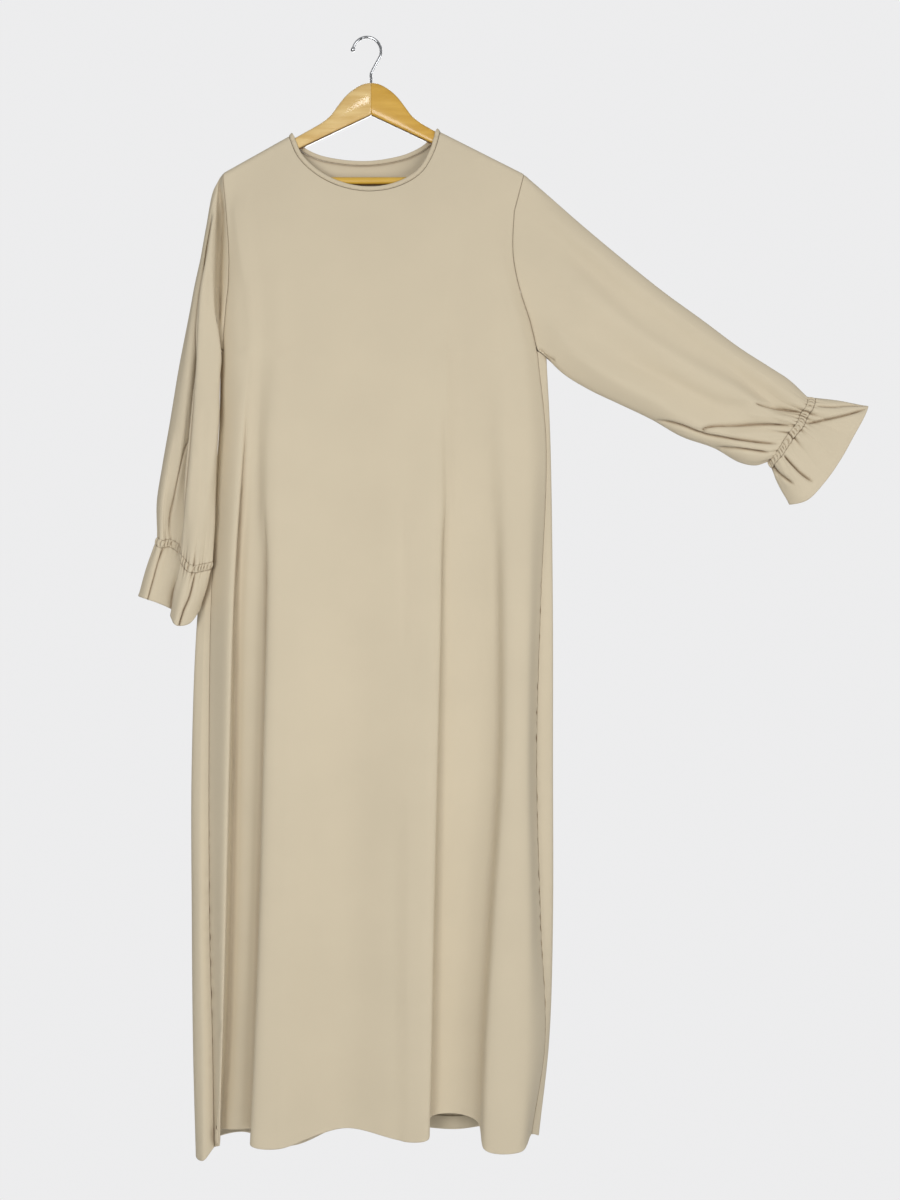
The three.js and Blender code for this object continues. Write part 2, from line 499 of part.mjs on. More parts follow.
// Shares of the way round a closed loop: 0 at its top, 0.5 at the point under it, by length on each side.
function sharesRound(places, under) {
  const run = [0];
  places.forEach((p, k) => run.push(run[k] + p.distanceTo(places[(k + 1) % places.length])));
  return places.map((_, k) => (k <= under
    ? (0.5 * run[k]) / run[under]
    : 0.5 + (0.5 * (run[k] - run[under])) / (run.at(-1) - run[under])));
}

// A sleeve from its armhole to its last loop. underKnot is the knot at the underarm side.
function sleeve(isLeft, loops, lastKnots, onward, underKnot) {
  const { frontEdge, under, backEdge } = armhole(isLeft);
  const edges = [...frontEdge, ...under, ...backEdge];
  const edgeAt = sharesRound(edges.map(({ p }) => p), frontEdge.length + Math.floor(under.length / 2));
  const vertices = [];
  const add = (p, n) => vertices.push({ p, n }) - 1;
  const first = edges.map(({ p, n, out }) => add(p.clone().addScaledVector(out, SEAM_GAP), n));
  const rings = loops.map((loop) => loopPoints(loopKnots(loop)).map((p) => add(p)));
  rings.push(squareLoop(lastKnots, onward).map(({ p, n }) => add(p, isLeft ? n : n.negate())));
  const ringAtShares = sharesRound(rings[0].map((k) => vertices[k].p), underKnot * LOOP_POINTS_PER_KNOT);
  const faces = [
    ...zip(first, edgeAt, rings[0], ringAtShares),
    ...rowsOfFaces(rings, true),
  ];
  return { vertices, faces };
}

// Loops between two lists of knots, with both ends square to the way the cloth runs.
function tube(upperKnots, lowerKnots, steps) {
  const vertices = [];
  const between = (t) => upperKnots.map((knot, k) => knot.map((value, axis) => lerp(value, lowerKnots[k][axis], t)));
  const rows = steps.map((t) => {
    const isEnd = t === 0 || t === 1;
    const loop = isEnd ? squareLoop(between(t), between(t + 1)) : loopPoints(between(t)).map((p) => ({ p }));
    return loop.map((vertex) => vertices.push(vertex) - 1);
  });
  return { vertices, faces: rowsOfFaces(rows, true) };
}

// Knots moved the given distance from one loop towards another.
function shifted(fromKnots, toKnots, distance) {
  return fromKnots.map((knot, k) => {
    const way = new THREE.Vector3(...toKnots[k]).sub(new THREE.Vector3(...knot));
    return new THREE.Vector3(...knot).addScaledVector(way.normalize(), distance).toArray();
  });
}

// ---- the hanger ----
const ARM_TOP = [[0, 63.5], [12, 66], [26, 74], [38, 85], [48, 98], [58, 111.5], [70, 121.5], [84, 130], [98, 138],
  [110, 145], [200, 194.5], [ARM_REACH, 201]];
const ARM_BOTTOM = [[0, 110], [60, 139], [110, 164], [200, 214], [ARM_REACH, 208]];
const ARM_SECTIONS = [0.2, 8, 16, 24, 32, 38, 44, 50, 56, 63, 71, 80, 92, 110, 140, 170, 190, 200, 205, ARM_REACH];
const ARM_SIDES = 16;
const ROUNDNESS = 3.2;             // of the arm's section, between an ellipse (2) and a box

// One arm, as rounded sections from the joint to the tip. way is -1 for the left arm and 1 for the right.
function arm(way) {
  const vertices = [];
  const rows = ARM_SECTIONS.map((out) => {
    const top = through(ARM_TOP, out);
    const bottom = through(ARM_BOTTOM, out);
    const thickness = ARM_THICKNESS * Math.sqrt(clamp01((ARM_REACH + 3 - out) / 14));
    return Array.from({ length: ARM_SIDES }, (_, k) => {
      const angle = (k / ARM_SIDES) * 2 * Math.PI;
      const round = (value) => Math.sign(value) * Math.abs(value) ** (2 / ROUNDNESS);
      const y = -ARM_SWEEP * out + round(Math.cos(angle)) * thickness / 2;
      const z = -(top + bottom) / 2 + round(Math.sin(angle)) * (bottom - top) / 2;
      return vertices.push(new THREE.Vector3(HANGER_CENTRE + way * out, y, z)) - 1;
    });
  });
  return solidOf(vertices, rows, way > 0);
}

// A solid from closed rows of points with a flat fan on each end.
function solidOf(vertices, rows, flip) {
  const faces = rowsOfFaces(rows, true).flatMap((f) => [[f[0], f[1], f[2]], [f[0], f[2], f[3]]]);
  const first = rows[0];
  const last = rows.at(-1);
  for (let k = 1; k + 1 < first.length; k += 1) {
    faces.push([first[0], first[k], first[k + 1]], [last[0], last[k + 1], last[k]]);
  }
  const geometry = new THREE.BufferGeometry();
  geometry.setAttribute('position', new THREE.Float32BufferAttribute(vertices.flatMap((v) => v.toArray()), 3));
  geometry.setIndex(faces.flatMap((f) => (flip ? [f[0], f[2], f[1]] : f)));
  geometry.computeVertexNormals();
  return geometry;
}

// The bar's ends are cut to the slope of the arms' lower edges.
function bar() {
  const sides = 16;
  const y = -ARM_SWEEP * ARM_REACH * 0.9;
  const armUnder = (drop) => {
    let out = 120;
    while (through(ARM_BOTTOM, out) < drop - 0.9 && out < 200) out += 0.25;
    return out;
  };
  const vertices = [];
  const ring = (way) => Array.from({ length: sides }, (_, k) => {
    const angle = (k / sides) * 2 * Math.PI;
    const drop = BAR_DROP - BAR_RADIUS * Math.sin(angle);
    const out = armUnder(drop);
    const place = new THREE.Vector3(HANGER_CENTRE + way * out, y + BAR_RADIUS * Math.cos(angle), -drop);
    return vertices.push(place) - 1;
  });
  return solidOf(vertices, [ring(-1), ring(1)], true);
}

// The hook: a short stem, a slanted neck, and a round crown that ends in a small ball.
function hook() {
  const centre = new THREE.Vector3(0, 0, WIRE_RADIUS - HOOK_RADIUS);
  const path = new THREE.CurvePath();
  const stemFoot = new THREE.Vector3(HANGER_CENTRE, 0, -WOOD_TOP_DROP + SEAM_GAP + 0.4);
  const stemTop = new THREE.Vector3(HANGER_CENTRE, 0, -50);
  const shoulderEnd = new THREE.Vector3(HOOK_RADIUS - 0.6, 0, centre.z - 6);
  const crown = [];
  const crownSteps = 18;
  for (let k = 0; k <= crownSteps; k += 1) {
    const angle = lerp(-0.12, Math.PI + 0.05, k / crownSteps);
    crown.push(new THREE.Vector3(Math.cos(angle) * HOOK_RADIUS, 0, centre.z + Math.sin(angle) * HOOK_RADIUS));
  }
  path.add(new THREE.CatmullRomCurve3([stemFoot, stemTop, shoulderEnd, ...crown], false, 'centripetal'));
  const places = path.getSpacedPoints(44);
  const sides = 8;
  const vertices = [];
  const rows = places.map((place, k) => {
    const ahead = places[Math.min(places.length - 1, k + 1)];
    const behind = places[Math.max(0, k - 1)];
    const along = ahead.clone().sub(behind).normalize();
    const across = new THREE.Vector3(0, 1, 0);
    const up = along.clone().cross(across);
    const toEnd = place.distanceTo(places.at(-1));
    const ball = toEnd < 6 ? 1 + 0.75 * Math.sqrt(Math.max(0, 1 - ((toEnd - 3) / 3) ** 2)) : 1;
    const radius = k === places.length - 1 ? WIRE_RADIUS * 0.5 : WIRE_RADIUS * ball;
    return Array.from({ length: sides }, (_, s) => {
      const angle = (s / sides) * 2 * Math.PI;
      const p = place.clone();
      p.addScaledVector(across, Math.cos(angle) * radius).addScaledVector(up, Math.sin(angle) * radius);
      return vertices.push(p) - 1;
    });
  });
  return solidOf(vertices, rows, true);
}

// ---- the neck binding: a band on from the neck seam, all round ----
function binding() {
  const neckOf = (piece, columns, from, to) => {
    const start = columns.indexOf(from);
    const end = columns.indexOf(to);
    return edgePoints(piece, piece.upper[0].slice(start, end + 1), piece.upper[1].slice(start, end + 1));
  };
  const frontNeck = neckOf(front, frontColumns, NECK_LEFT, NECK_RIGHT);
  const backNeck = neckOf(back, backUpperColumns, BACK_NECK_RIGHT, BACK_NECK_LEFT);
  const inward = (edge, way) => edge.out.set(way * 0.87, 0, 0.5);
  inward(frontNeck[0], 1);
  inward(frontNeck.at(-1), -1);
  frontNeck[0].p.y = -ARM_SWEEP * spread(frontNeck[0].p.x);
  frontNeck.at(-1).p.y = -ARM_SWEEP * spread(frontNeck.at(-1).p.x);
  const edges = [...frontNeck, ...backNeck.slice(1, -1)];
  const outs = edges.map(({ out }) => out.clone());
  edges.forEach((edge, k) => edge.out.add(outs.at(k - 1)).add(outs[(k + 1) % outs.length]).normalize());
  const vertices = [];
  const rows = [SEAM_GAP + 0.2, BINDING_WIDTH / 2, BINDING_WIDTH].map((distance) => edges.map(({ p, n, out }) => {
    const moved = p.clone().addScaledVector(out, distance);
    return vertices.push({ p: moved, n }) - 1;
  }));
  return { vertices, faces: rowsOfFaces(rows, true) };
}

// ---- materials ----
const crepe = (name) => new THREE.MeshStandardMaterial({ name, color: 0xcdbf9f, roughness: 0.88, metalness: 0 });
const wood = (name) => new THREE.MeshStandardMaterial({ name, color: 0xcf9a45, roughness: 0.35, metalness: 0 });
const chrome = (name) => new THREE.MeshStandardMaterial({ name, color: 0xc9ccd0, roughness: 0.15, metalness: 1 });

// ---- assembly ----
const abaya = new THREE.Group();
function addMesh(name, geometry, material) {
  const mesh = new THREE.Mesh(geometry, material(name));
  mesh.name = name;
  abaya.add(mesh);
}
function addCloth(name, { vertices, faces }, thickness = CLOTH) {
  addMesh(name, wall(vertices, faces, thickness), crepe);
}

addCloth('front', front);
addCloth('back', back);
addCloth('neck_binding', binding(), BAND_CLOTH);

const HANGING_UNDER_KNOT = 7;
const HELD_UNDER_KNOT = 6;
const SEWN_SETS = [
  { name: 'hanging', isLeft: true, loops: HANGING_LOOPS, gather: HANGING_GATHER, hem: HANGING_FRILL_HEM,
    underKnot: HANGING_UNDER_KNOT },
  { name: 'held', isLeft: false, loops: HELD_LOOPS, gather: HELD_GATHER, hem: HELD_FRILL_HEM,
    underKnot: HELD_UNDER_KNOT },
];
for (const { name, isLeft, loops, gather, hem, underKnot } of SEWN_SETS) {
  const gatherEnd = shifted(gather, hem, GATHER_WIDTH);
  addCloth(`sleeve_${name}`, sleeve(isLeft, loops, gather, hem, underKnot));
  addCloth(`gather_${name}`, tube(shifted(gather, hem, SEAM_GAP), gatherEnd, [0, 0.5, 1]), BAND_CLOTH);
  addCloth(`frill_${name}`, tube(shifted(gatherEnd, hem, SEAM_GAP), hem, FRILL_STEPS));
}

addMesh('hanger_arm_left', arm(-1), wood);
addMesh('hanger_arm_right', arm(1), wood);
addMesh('hanger_bar', bar(), wood);
addMesh('hanger_hook', hook(), chrome);

export default abaya;
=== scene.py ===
import math

import bpy
import numpy as np
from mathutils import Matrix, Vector


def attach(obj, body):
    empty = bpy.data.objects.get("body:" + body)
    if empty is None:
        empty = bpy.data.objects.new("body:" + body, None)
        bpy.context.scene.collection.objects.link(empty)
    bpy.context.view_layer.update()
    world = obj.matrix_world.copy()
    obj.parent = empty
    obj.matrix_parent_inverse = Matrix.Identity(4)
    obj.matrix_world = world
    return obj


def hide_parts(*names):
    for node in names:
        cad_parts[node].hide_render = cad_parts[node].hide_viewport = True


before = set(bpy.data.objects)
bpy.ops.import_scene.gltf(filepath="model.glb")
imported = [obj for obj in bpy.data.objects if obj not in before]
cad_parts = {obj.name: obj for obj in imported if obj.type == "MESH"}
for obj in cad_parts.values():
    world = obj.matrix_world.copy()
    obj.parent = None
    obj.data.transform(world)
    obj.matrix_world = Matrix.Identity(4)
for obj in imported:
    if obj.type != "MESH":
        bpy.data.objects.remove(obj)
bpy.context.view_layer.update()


# ---------------------------------------------------------------------------------------------
# The hanger's arms: two shaped pieces of pine, glued at a joint under the hook. Their edges are
# rounded over and they are finished with a clear gloss varnish. Sizes here are millimetres, and
# a drop is measured straight down from the hook's inner crown.
# ---------------------------------------------------------------------------------------------
HANGER_CENTRE = 6.0
ARM_THICKNESS = 13.0
ARM_SWEEP = 0.04
ARM_REACH = 207.0
ARM_TIP_TAPER = 14.0
ARM_SQUARENESS = 3.4
ARM_SEGMENTS = 48
# An arm's edges, through (way out from the joint, drop).
ARM_TOP = [(0, 63.5), (12, 66), (26, 74), (38, 85), (48, 98), (58, 111.5), (70, 121.5), (84, 130), (98, 138),
           (110, 145), (200, 194.5), (ARM_REACH, 201)]
ARM_BOTTOM = [(0, 110), (60, 139), (110, 164), (200, 214), (ARM_REACH, 208)]
# The dark brown that the pine is mixed toward on faces that look down: painted shade.
PAINTED_UNDERSIDE_SHADE = (0.16, 0.07, 0.02)


def through(stops, at):
    """A smooth curve through (place, value) stops. A value may be a row of numbers."""
    places = np.array([stop[0] for stop in stops], float)
    values = np.array([stop[1] for stop in stops], float)
    at = np.asarray(at, float)
    last = len(places) - 1
    i = np.clip(np.searchsorted(places, at) - 1, 0, last - 1)
    before, after = np.maximum(np.arange(last + 1) - 1, 0), np.minimum(np.arange(last + 1) + 1, last)
    shape = (-1,) + (1,) * (values.ndim - 1)
    slopes = (values[after] - values[before]) / (places[after] - places[before]).reshape(shape)
    width = (places[i + 1] - places[i]).reshape(at.shape + (1,) * (values.ndim - 1))
    t = np.clip((at - places[i]) / (places[i + 1] - places[i]), 0, 1).reshape(width.shape)
    rise = t * t * (3 - 2 * t)
    return (values[i] * (1 - rise) + values[i + 1] * rise
            + width * slopes[i] * t * (1 - t) ** 2 - width * slopes[i + 1] * t * t * (1 - t))


def in_scene(name, data):
    """A new object for a mesh, a lamp or a camera, in the scene."""
    made = bpy.data.objects.new(name, data)
    bpy.context.scene.collection.objects.link(made)
    return made


def new_piece(name, points, faces, material, node_names=(), uv=None, crisp=()):
    """A mesh piece from points in millimetres, shaded smooth but for its crisp edges. It rides on the one
    body and may stand for CAD nodes."""
    mesh = bpy.data.meshes.new(name)
    mesh.from_pydata([tuple(p) for p in np.asarray(points) / 1000.0], [], [tuple(f) for f in faces])
    mesh.polygons.foreach_set("use_smooth", [True] * len(mesh.polygons))
    if uv is not None:
        layer = mesh.uv_layers.new(name="cut")
        corner_vertices = np.empty(len(mesh.loops), int)
        mesh.loops.foreach_get("vertex_index", corner_vertices)
        layer.data.foreach_set("uv", np.asarray(uv)[corner_vertices].ravel())
    mesh.materials.append(material)
    mesh.validate()
    if len(crisp):
        ends = np.empty(2 * len(mesh.edges), int)
        mesh.edges.foreach_get("vertices", ends)
        ends = np.sort(ends.reshape(-1, 2), axis=1)
        wanted = np.sort(np.asarray(crisp), axis=1)
        sharp = np.isin(ends[:, 0] * 10 ** 7 + ends[:, 1], wanted[:, 0] * 10 ** 7 + wanted[:, 1])
        mesh.edges.foreach_set("use_edge_sharp", sharp)
    piece = in_scene(name, mesh)
    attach(piece, "root")
    for node_name in node_names:
        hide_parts(node_name)
    return piece


def rows_of_faces(rows, closed=False, flip=False):
    """Four-sided faces between rows of vertex numbers."""
    rows = np.asarray(rows)
    if closed:
        rows = np.concatenate([rows, rows[:, :1]], axis=1)
    a, b, c, d = rows[:-1, :-1], rows[1:, :-1], rows[1:, 1:], rows[:-1, 1:]
    order = (d, c, b, a) if flip else (a, b, c, d)
    return np.stack([corner.ravel() for corner in order], axis=1).tolist()


def set_inputs(node, values):
    """Sets fixed values on a node's inputs. An input's name is written with _ for its blanks."""
    for socket, value in values.items():
        node.inputs[socket.replace("_", " ")].default_value = value
    return node


def new_node(nodes, kind, **values):
    """A new node with fixed values on its inputs."""
    return set_inputs(nodes.new(kind), values)


def join(links, *rows):
    """Links nodes, in rows of (node, output, node, input)."""
    for source, output, target, socket in rows:
        links.new(source.outputs[output], target.inputs[socket])


def shader(name, colour, roughness, **values):
    """A new material with its main shader's fixed values set, and its nodes, links and main shader."""
    material = bpy.data.materials.new(name)
    material.use_nodes = True
    nodes, links = material.node_tree.nodes, material.node_tree.links
    surface = set_inputs(nodes["Principled BSDF"],
                         {"Base Color": (*colour, 1), "Roughness": roughness, **values})
    return material, nodes, links, surface


def tone_ramp(nodes, *stops):
    """A ramp from one tone to another, each with its place."""
    ramp = nodes.new("ShaderNodeValToRGB")
    for element, (place, tone) in zip(ramp.color_ramp.elements, stops):
        element.position, element.color = place, (*tone, 1)
    return ramp


def tone_mix(nodes, tone):
    """A mix from this tone, at 0, to what its B input gets."""
    mix = nodes.new("ShaderNodeMix")
    mix.data_type = "RGBA"
    return set_inputs(mix, {"A": (*tone, 1)})


def varnished_pine(name, grain_turn, dark, light, gloss):
    """Golden varnished pine: slow wavy grain along the arm, from dark to light, under a gloss coat, with
    painted shade, a darker tone, on the faces that look down."""
    material, nodes, links, surface = shader(name, light, 0.34, Coat_Weight=gloss, Coat_Roughness=0.07)
    place = nodes.new("ShaderNodeTexCoord")
    turned = new_node(nodes, "ShaderNodeMapping", Rotation=(0, grain_turn, 0), Scale=(5, 60, 60))
    grain = new_node(nodes, "ShaderNodeTexNoise", Scale=2.2, Detail=5, Distortion=0.7)
    tones = tone_ramp(nodes, (0.3, dark), (0.7, light))
    # Painted shade: faces that look down are mixed toward a dark brown, in place of the shade under the arms
    # and the bar.
    facing = nodes.new("ShaderNodeNewGeometry")
    upward = nodes.new("ShaderNodeSeparateXYZ")
    under = new_node(nodes, "ShaderNodeMapRange", From_Min=-0.85, From_Max=-0.6)
    underside_shade = tone_mix(nodes, PAINTED_UNDERSIDE_SHADE)
    relief = new_node(nodes, "ShaderNodeBump", Strength=0.12, Distance=0.0004)
    join(links, (place, "Object", turned, "Vector"), (turned, "Vector", grain, "Vector"),
         (grain, "Fac", tones, "Fac"), (facing, "Normal", upward, "Vector"), (upward, "Z", under, "Value"),
         (under, "Result", underside_shade, "Factor"), (tones, "Color", underside_shade, "B"),
         (underside_shade, "Result", surface, "Base Color"), (grain, "Fac", relief, "Height"),
         (relief, "Normal", surface, "Normal"))
    return material


def round_angles(count):
    """Angles evenly round a circle."""
    return np.linspace(0, 2 * math.pi, count, endpoint=False)


def closed_rod(x, y, z, flip=False):
    """The points and faces of a rod that is closed at both ends, from its coordinates by ring and angle."""
    points = np.stack(np.broadcast_arrays(x, y, z), axis=-1)
    numbers = np.arange(points[..., 0].size).reshape(points.shape[:2])
    ends = [list(end[::-1] if flip else end) for end in (numbers[0], numbers[-1][::-1])]
    return points.reshape(-1, 3), rows_of_faces(numbers, closed=True, flip=flip) + ends


def shaped_arm(way):
    """Rounded sections from the joint to the tip; way is -1 for the left arm, 1 for the right."""
    out = np.concatenate([[0.06, 0.5], np.linspace(1.4, 130, 64), np.linspace(133, 196, 18),
                          np.linspace(198, ARM_REACH, 8)])
    top, bottom = through(ARM_TOP, out), through(ARM_BOTTOM, out)
    thickness = ARM_THICKNESS * np.sqrt(np.clip((ARM_REACH + 3 - out) / ARM_TIP_TAPER, 0, 1))
    angle = round_angles(ARM_SEGMENTS)

    def rounded(value):
        return np.sign(value) * np.abs(value) ** (2 / ARM_SQUARENESS)

    eased = np.interp(out, [0, 0.5, 1.4], [0.955, 0.985, 1.0])[:, None]
    y = -ARM_SWEEP * out[:, None] + rounded(np.cos(angle)) * thickness[:, None] / 2 * eased
    z = -(top + bottom)[:, None] / 2 + rounded(np.sin(angle)) * (bottom - top)[:, None] / 2 * eased
    return closed_rod(HANGER_CENTRE + way * out[:, None], y, z, flip=way > 0)


# The left arm's paler tones are a painted highlight. Both arms stand for the same pine, and the right arm
# shows its tone without it.
for side_name, way, dark, light, gloss in (("left", -1, (0.66, 0.42, 0.13), (0.82, 0.59, 0.25), 1.0),
                                           ("right", 1, (0.61, 0.34, 0.045), (0.73, 0.44, 0.08), 0.3)):
    pine = varnished_pine("varnished_pine_" + side_name, way * 0.5, dark, light, gloss)
    new_piece("arm_" + side_name, *shaped_arm(way), pine, ["hanger_arm_" + side_name])


# ---------------------------------------------------------------------------------------------
# The trouser bar: a turned pine rod between the arms, let in behind their lower edges and
# varnished with them. Its ends follow the slope of the arms.
# ---------------------------------------------------------------------------------------------
BAR_RADIUS = 6.0
BAR_DROP = 206.0
BAR_SEGMENTS = 40
BAR_RINGS = 31


def turned_bar():
    """A round bar whose ends meet the arms' lower edges."""
    angle = round_angles(BAR_SEGMENTS)
    drop = BAR_DROP - BAR_RADIUS * np.sin(angle)
    outs = np.arange(120, 200, 0.25)
    under = through(ARM_BOTTOM, outs)
    reach = np.array([outs[np.argmax(under >= d - 0.9)] for d in drop])
    shares = np.linspace(-1, 1, BAR_RINGS)[:, None]
    y = -ARM_SWEEP * ARM_REACH * 0.9 + BAR_RADIUS * np.cos(angle)
    return closed_rod(HANGER_CENTRE + shares * reach, y, -drop, flip=True)


# The bar's pine also gets the painted shade on its faces that look down.
bar_pine = varnished_pine("varnished_bar", 0.0, (0.62, 0.35, 0.03), (0.74, 0.46, 0.06), 0.9)
new_piece("trouser_bar", *turned_bar(), bar_pine, ["hanger_bar"])


# ---------------------------------------------------------------------------------------------
# The hook: one bent length of chromed steel wire, pushed into the joint of the arms, with a
# short straight stem, a slanted neck, a round crown and a small ball on its end.
# ---------------------------------------------------------------------------------------------
WIRE_RADIUS = 2.0
WIRE_STEPS = 150
WIRE_SEGMENTS = 20
HOOK_RADIUS = 20.0
# The ball's middle, from the wire's end, half its length, and its width in widths of the wire.
BALL_PLACE = 3.2
BALL_REACH = 3.4
BALL_SWELL = 1.75

chrome = shader("chromed_wire", (0.60, 0.61, 0.63), 0.1, Metallic=1.0)[0]


def bent_wire():
    """The wire's middle line as a path from the stem's foot to the ball, in millimetres."""
    centre = WIRE_RADIUS - HOOK_RADIUS
    stem = [(HANGER_CENTRE, -64.5), (HANGER_CENTRE, -57), (HANGER_CENTRE, -50),
            (HOOK_RADIUS - 0.6, centre - 6)]
    return stem + [(math.cos(a) * HOOK_RADIUS, centre + math.sin(a) * HOOK_RADIUS)
                   for a in np.linspace(-0.12, math.pi + 0.05, 40)]


def lengths_along(line):
    """The length from a line's start to each of its points."""
    return np.concatenate([[0], np.cumsum(np.linalg.norm(np.diff(line, axis=0), axis=1))])


def swept_wire(stops, radius_at):
    """A round wire along a path in the hook's plane, its radius given by the length left to its end."""
    stops = np.array(stops, float)
    run = lengths_along(stops)
    along = np.linspace(0, run[-1], WIRE_STEPS)
    path = through(list(zip(run, stops)), along)
    ahead = np.gradient(path, axis=0)
    ahead /= np.linalg.norm(ahead, axis=1)[:, None]
    up = np.stack([-ahead[:, 1], ahead[:, 0]], axis=1)
    radius = radius_at(run[-1] - along)[:, None]
    angle = round_angles(WIRE_SEGMENTS)
    x, z = (path[:, k:k + 1] + up[:, k:k + 1] * np.sin(angle) * radius for k in (0, 1))
    return closed_rod(x, np.cos(angle) * radius, z)


def wire_radius(from_end):
    """The wire's radius, swollen to a ball at its end."""
    ball = np.sqrt(np.clip(1 - ((from_end - BALL_PLACE) / BALL_REACH) ** 2, 0, 1)) * WIRE_RADIUS * BALL_SWELL
    wire = np.where(from_end > BALL_PLACE, WIRE_RADIUS, 0)
    return np.maximum(np.maximum(wire, ball), 0.2)


new_piece("wire_hook", *swept_wire(bent_wire(), wire_radius), chrome, ["hanger_hook"])


# ---------------------------------------------------------------------------------------------
# The front: one long panel of sand-coloured crepe from the neckline to the hem. It hangs from
# the arms in two wide folds and some narrow ones, is stitched to the back along the shoulders
# and the side seams, and is turned up and stitched at its hem.
# ---------------------------------------------------------------------------------------------
CHEST_DROP = 448.0
YOKE_DROP = 250.0
HEM_DROP = 1570.0
HEM_TURN_UP = 19.0
# Where the turned-up part of the hem starts on the flat cut.
HEM_CUT_START = 1600
# How far the rows of a seam allowance stand in from the cloth.
SEAM_ALLOWANCE = (1.4, 3.5, 6.0)
TOP_ALLOWANCE = (0.8, 1.6)
UNDERARM_DIP = 9.0
UNDERARM_DIP_END = 540.0
# The hem's own curve sets in below this drop.
HEM_CURVE_DROP = 1150.0
# Each station is a line down the cloth: a fold's crest, its foot or a seam. Its x and its depth
# towards the front are given at the LEVELS, and hem is the drop of the cloth's edge there.
LEVELS = [448, 588, 803, 1032, 1272, 1432, 1570]
STATIONS = [
    # name          x at the levels                               depth at the levels              hem
    ("seam_left", (-205, -211, -222, -224, -222, -217, -214), (8, 5, 6, 14, 20, 27, 34), 1574),
    ("fold_1", (-170, -176, -188, -193.5, -198, -201.5, -206.5), (24, 28, 32, 36, 40, 42, 44), 1568),
    ("dip_1a", (-153, -162, -175.6, -182.5, -188, -192.5, -199.5), (24, 22, 22, 23, 24, 25, 26), 1555),
    ("dip_1b", (-147, -153, -152.6, -156.5, -160.5, -165.5, -169.5), (24, 22, 22, 23, 24, 25, 26), 1553),
    ("fold_2a", (-127, -137, -136.6, -141.5, -147.5, -154.5, -160.5), (26, 31, 38, 44, 49, 52, 55), 1565),
    ("fold_2b", (-99, -104, -109, -114, -119, -123, -123), (27, 32, 40, 47, 52, 55, 58), 1569),
    ("dip_2", (-23, -23, -23, -24, -26, -27, -29), (28, 28, 28, 29, 30, 30, 30), 1548),
    ("fold_3a", (55, 55, 60, 62, 63, 63, 61), (28, 31, 36, 42, 46, 48, 50), 1562),
    ("fold_3b", (101, 103, 106, 102, 96.5, 94, 90), (27, 31, 36, 41, 45, 48, 50), 1557),
    ("dip_3a", (117, 115, 116, 111, 104.5, 102, 98), (25, 23, 22, 22, 23, 24, 25), 1532),
    ("dip_3b", (171, 171, 176, 176, 164, 156, 152), (25, 23, 22, 22, 23, 24, 25), 1537),
    ("fold_4a", (200, 198.5, 201.5, 198, 182, 172, 168), (24, 30, 37, 43, 49, 53, 56), 1571),
    ("fold_4b", (224, 232, 229, 226, 228, 226, 218), (20, 26, 33, 40, 46, 50, 53), 1574),
    ("seam_right", (243, 256, 248, 242, 248, 254, 235), (8, 8, 10, 12, 14, 14, 14), 1562),
    ("edge_right", (256, 262, 265, 265, 265, 260, 245), (2, 2, 2, 2, 2, 2, 2), 1567),
    ("turn_right", (241, 248, 250, 250, 250, 246, 235), (-14, -15, -18, -22, -26, -28, -30), 1568),
    ("fold_5", (198, 198, 198, 198, 197, 191, 187), (-22, -24, -28, -34, -40, -42, -44), 1566),
    ("dip_5", (126, 126, 126, 126, 126, 126, 126), (-24, -23, -22, -20, -18, -17, -16), 1564),
    ("fold_6", (43, 43, 43, 43, 43, 43, 43), (-25, -27, -30, -34, -38, -40, -42), 1566),
    ("fold_7", (-34, -34, -34, -34, -34, -35, -35), (-26, -30, -36, -42, -48, -50, -52), 1570),
    ("dip_7", (-112, -112, -112, -112, -112, -112, -112), (-24, -24, -23, -22, -20, -18, -16), 1588),
    ("fold_8", (-175, -179, -182, -186, -186, -185, -184), (-20, -23, -28, -34, -38, -40, -42), 1576),
    ("turn_left", (-197, -201, -219, -232, -233, -230, -227), (-12, -14, -17, -20, -20, -18, -14), 1580),
    ("edge_left", (-208, -213, -240, -249, -248, -245, -240), (0, -2, 0, 6, 12, 20, 28), 1589),
    ("lap_left", (-207, -212, -231, -237, -235, -231, -228), (5, 2, 4, 14, 24, 32, 42), 1590),
]
ROUND = len(STATIONS)
NAMES = [station[0] for station in STATIONS]
SHOULDERS = {"left": ((-111, 142), (-204, 195.5)), "right": ((105, 135.5), (224, 197))}
NECKLINES = {
    "front": [(-111, 142), (-98, 172), (-72, 198), (-37, 216), (4, 223), (45, 216), (78, 196), (96, 166),
              (105, 135.5)],
    "back": [(-111, 142), (-97, 158), (-74, 170), (-40, 177), (-5, 179), (29, 176), (62, 168), (88, 154),
             (105, 135.5)],
}
NECK_SHARES = [0, 0.012, 0.03, 0.055, 0.1, 0.17, 0.26, 0.37, 0.5, 0.63, 0.74, 0.83, 0.9, 0.945, 0.97,
               0.988, 1]
NECK_YOKE = (-132, 130)
# A panel's own stations and armhole edges: left, under the neck points, right.
PANELS = {
    "front": {"left": 0, "neck_left": 5, "neck_right": 8, "right": 13,
              "sign": 1, "depth": 20, "edge_depth": 14,
              "arm_left": [(250, -199.5), (306, -196), (353, -197), (380, -200), (424, -204), (448, -205)],
              "arm_right": [(250, 210), (288, 208), (316, 209), (348, 215), (376, 223), (406, 233),
                            (448, 243)]},
    "back": {"left": 22, "neck_left": 20, "neck_right": 17, "right": 15,
             "sign": -1, "depth": -14, "edge_depth": -5,
             "arm_left": [(250, -201), (300, -200), (350, -200), (400, -199), (448, -197)],
             "arm_right": [(250, 214), (300, 213), (350, 218), (400, 230), (448, 241)]},
}
SHOULDER_ROLL = 9.0
SHOULDER_DEPTH = 8.5


def smooth(t):
    t = np.clip(t, 0, 1)
    return t * t * (3 - 2 * t)


def blend(a, b, t):
    return a + (b - a) * t


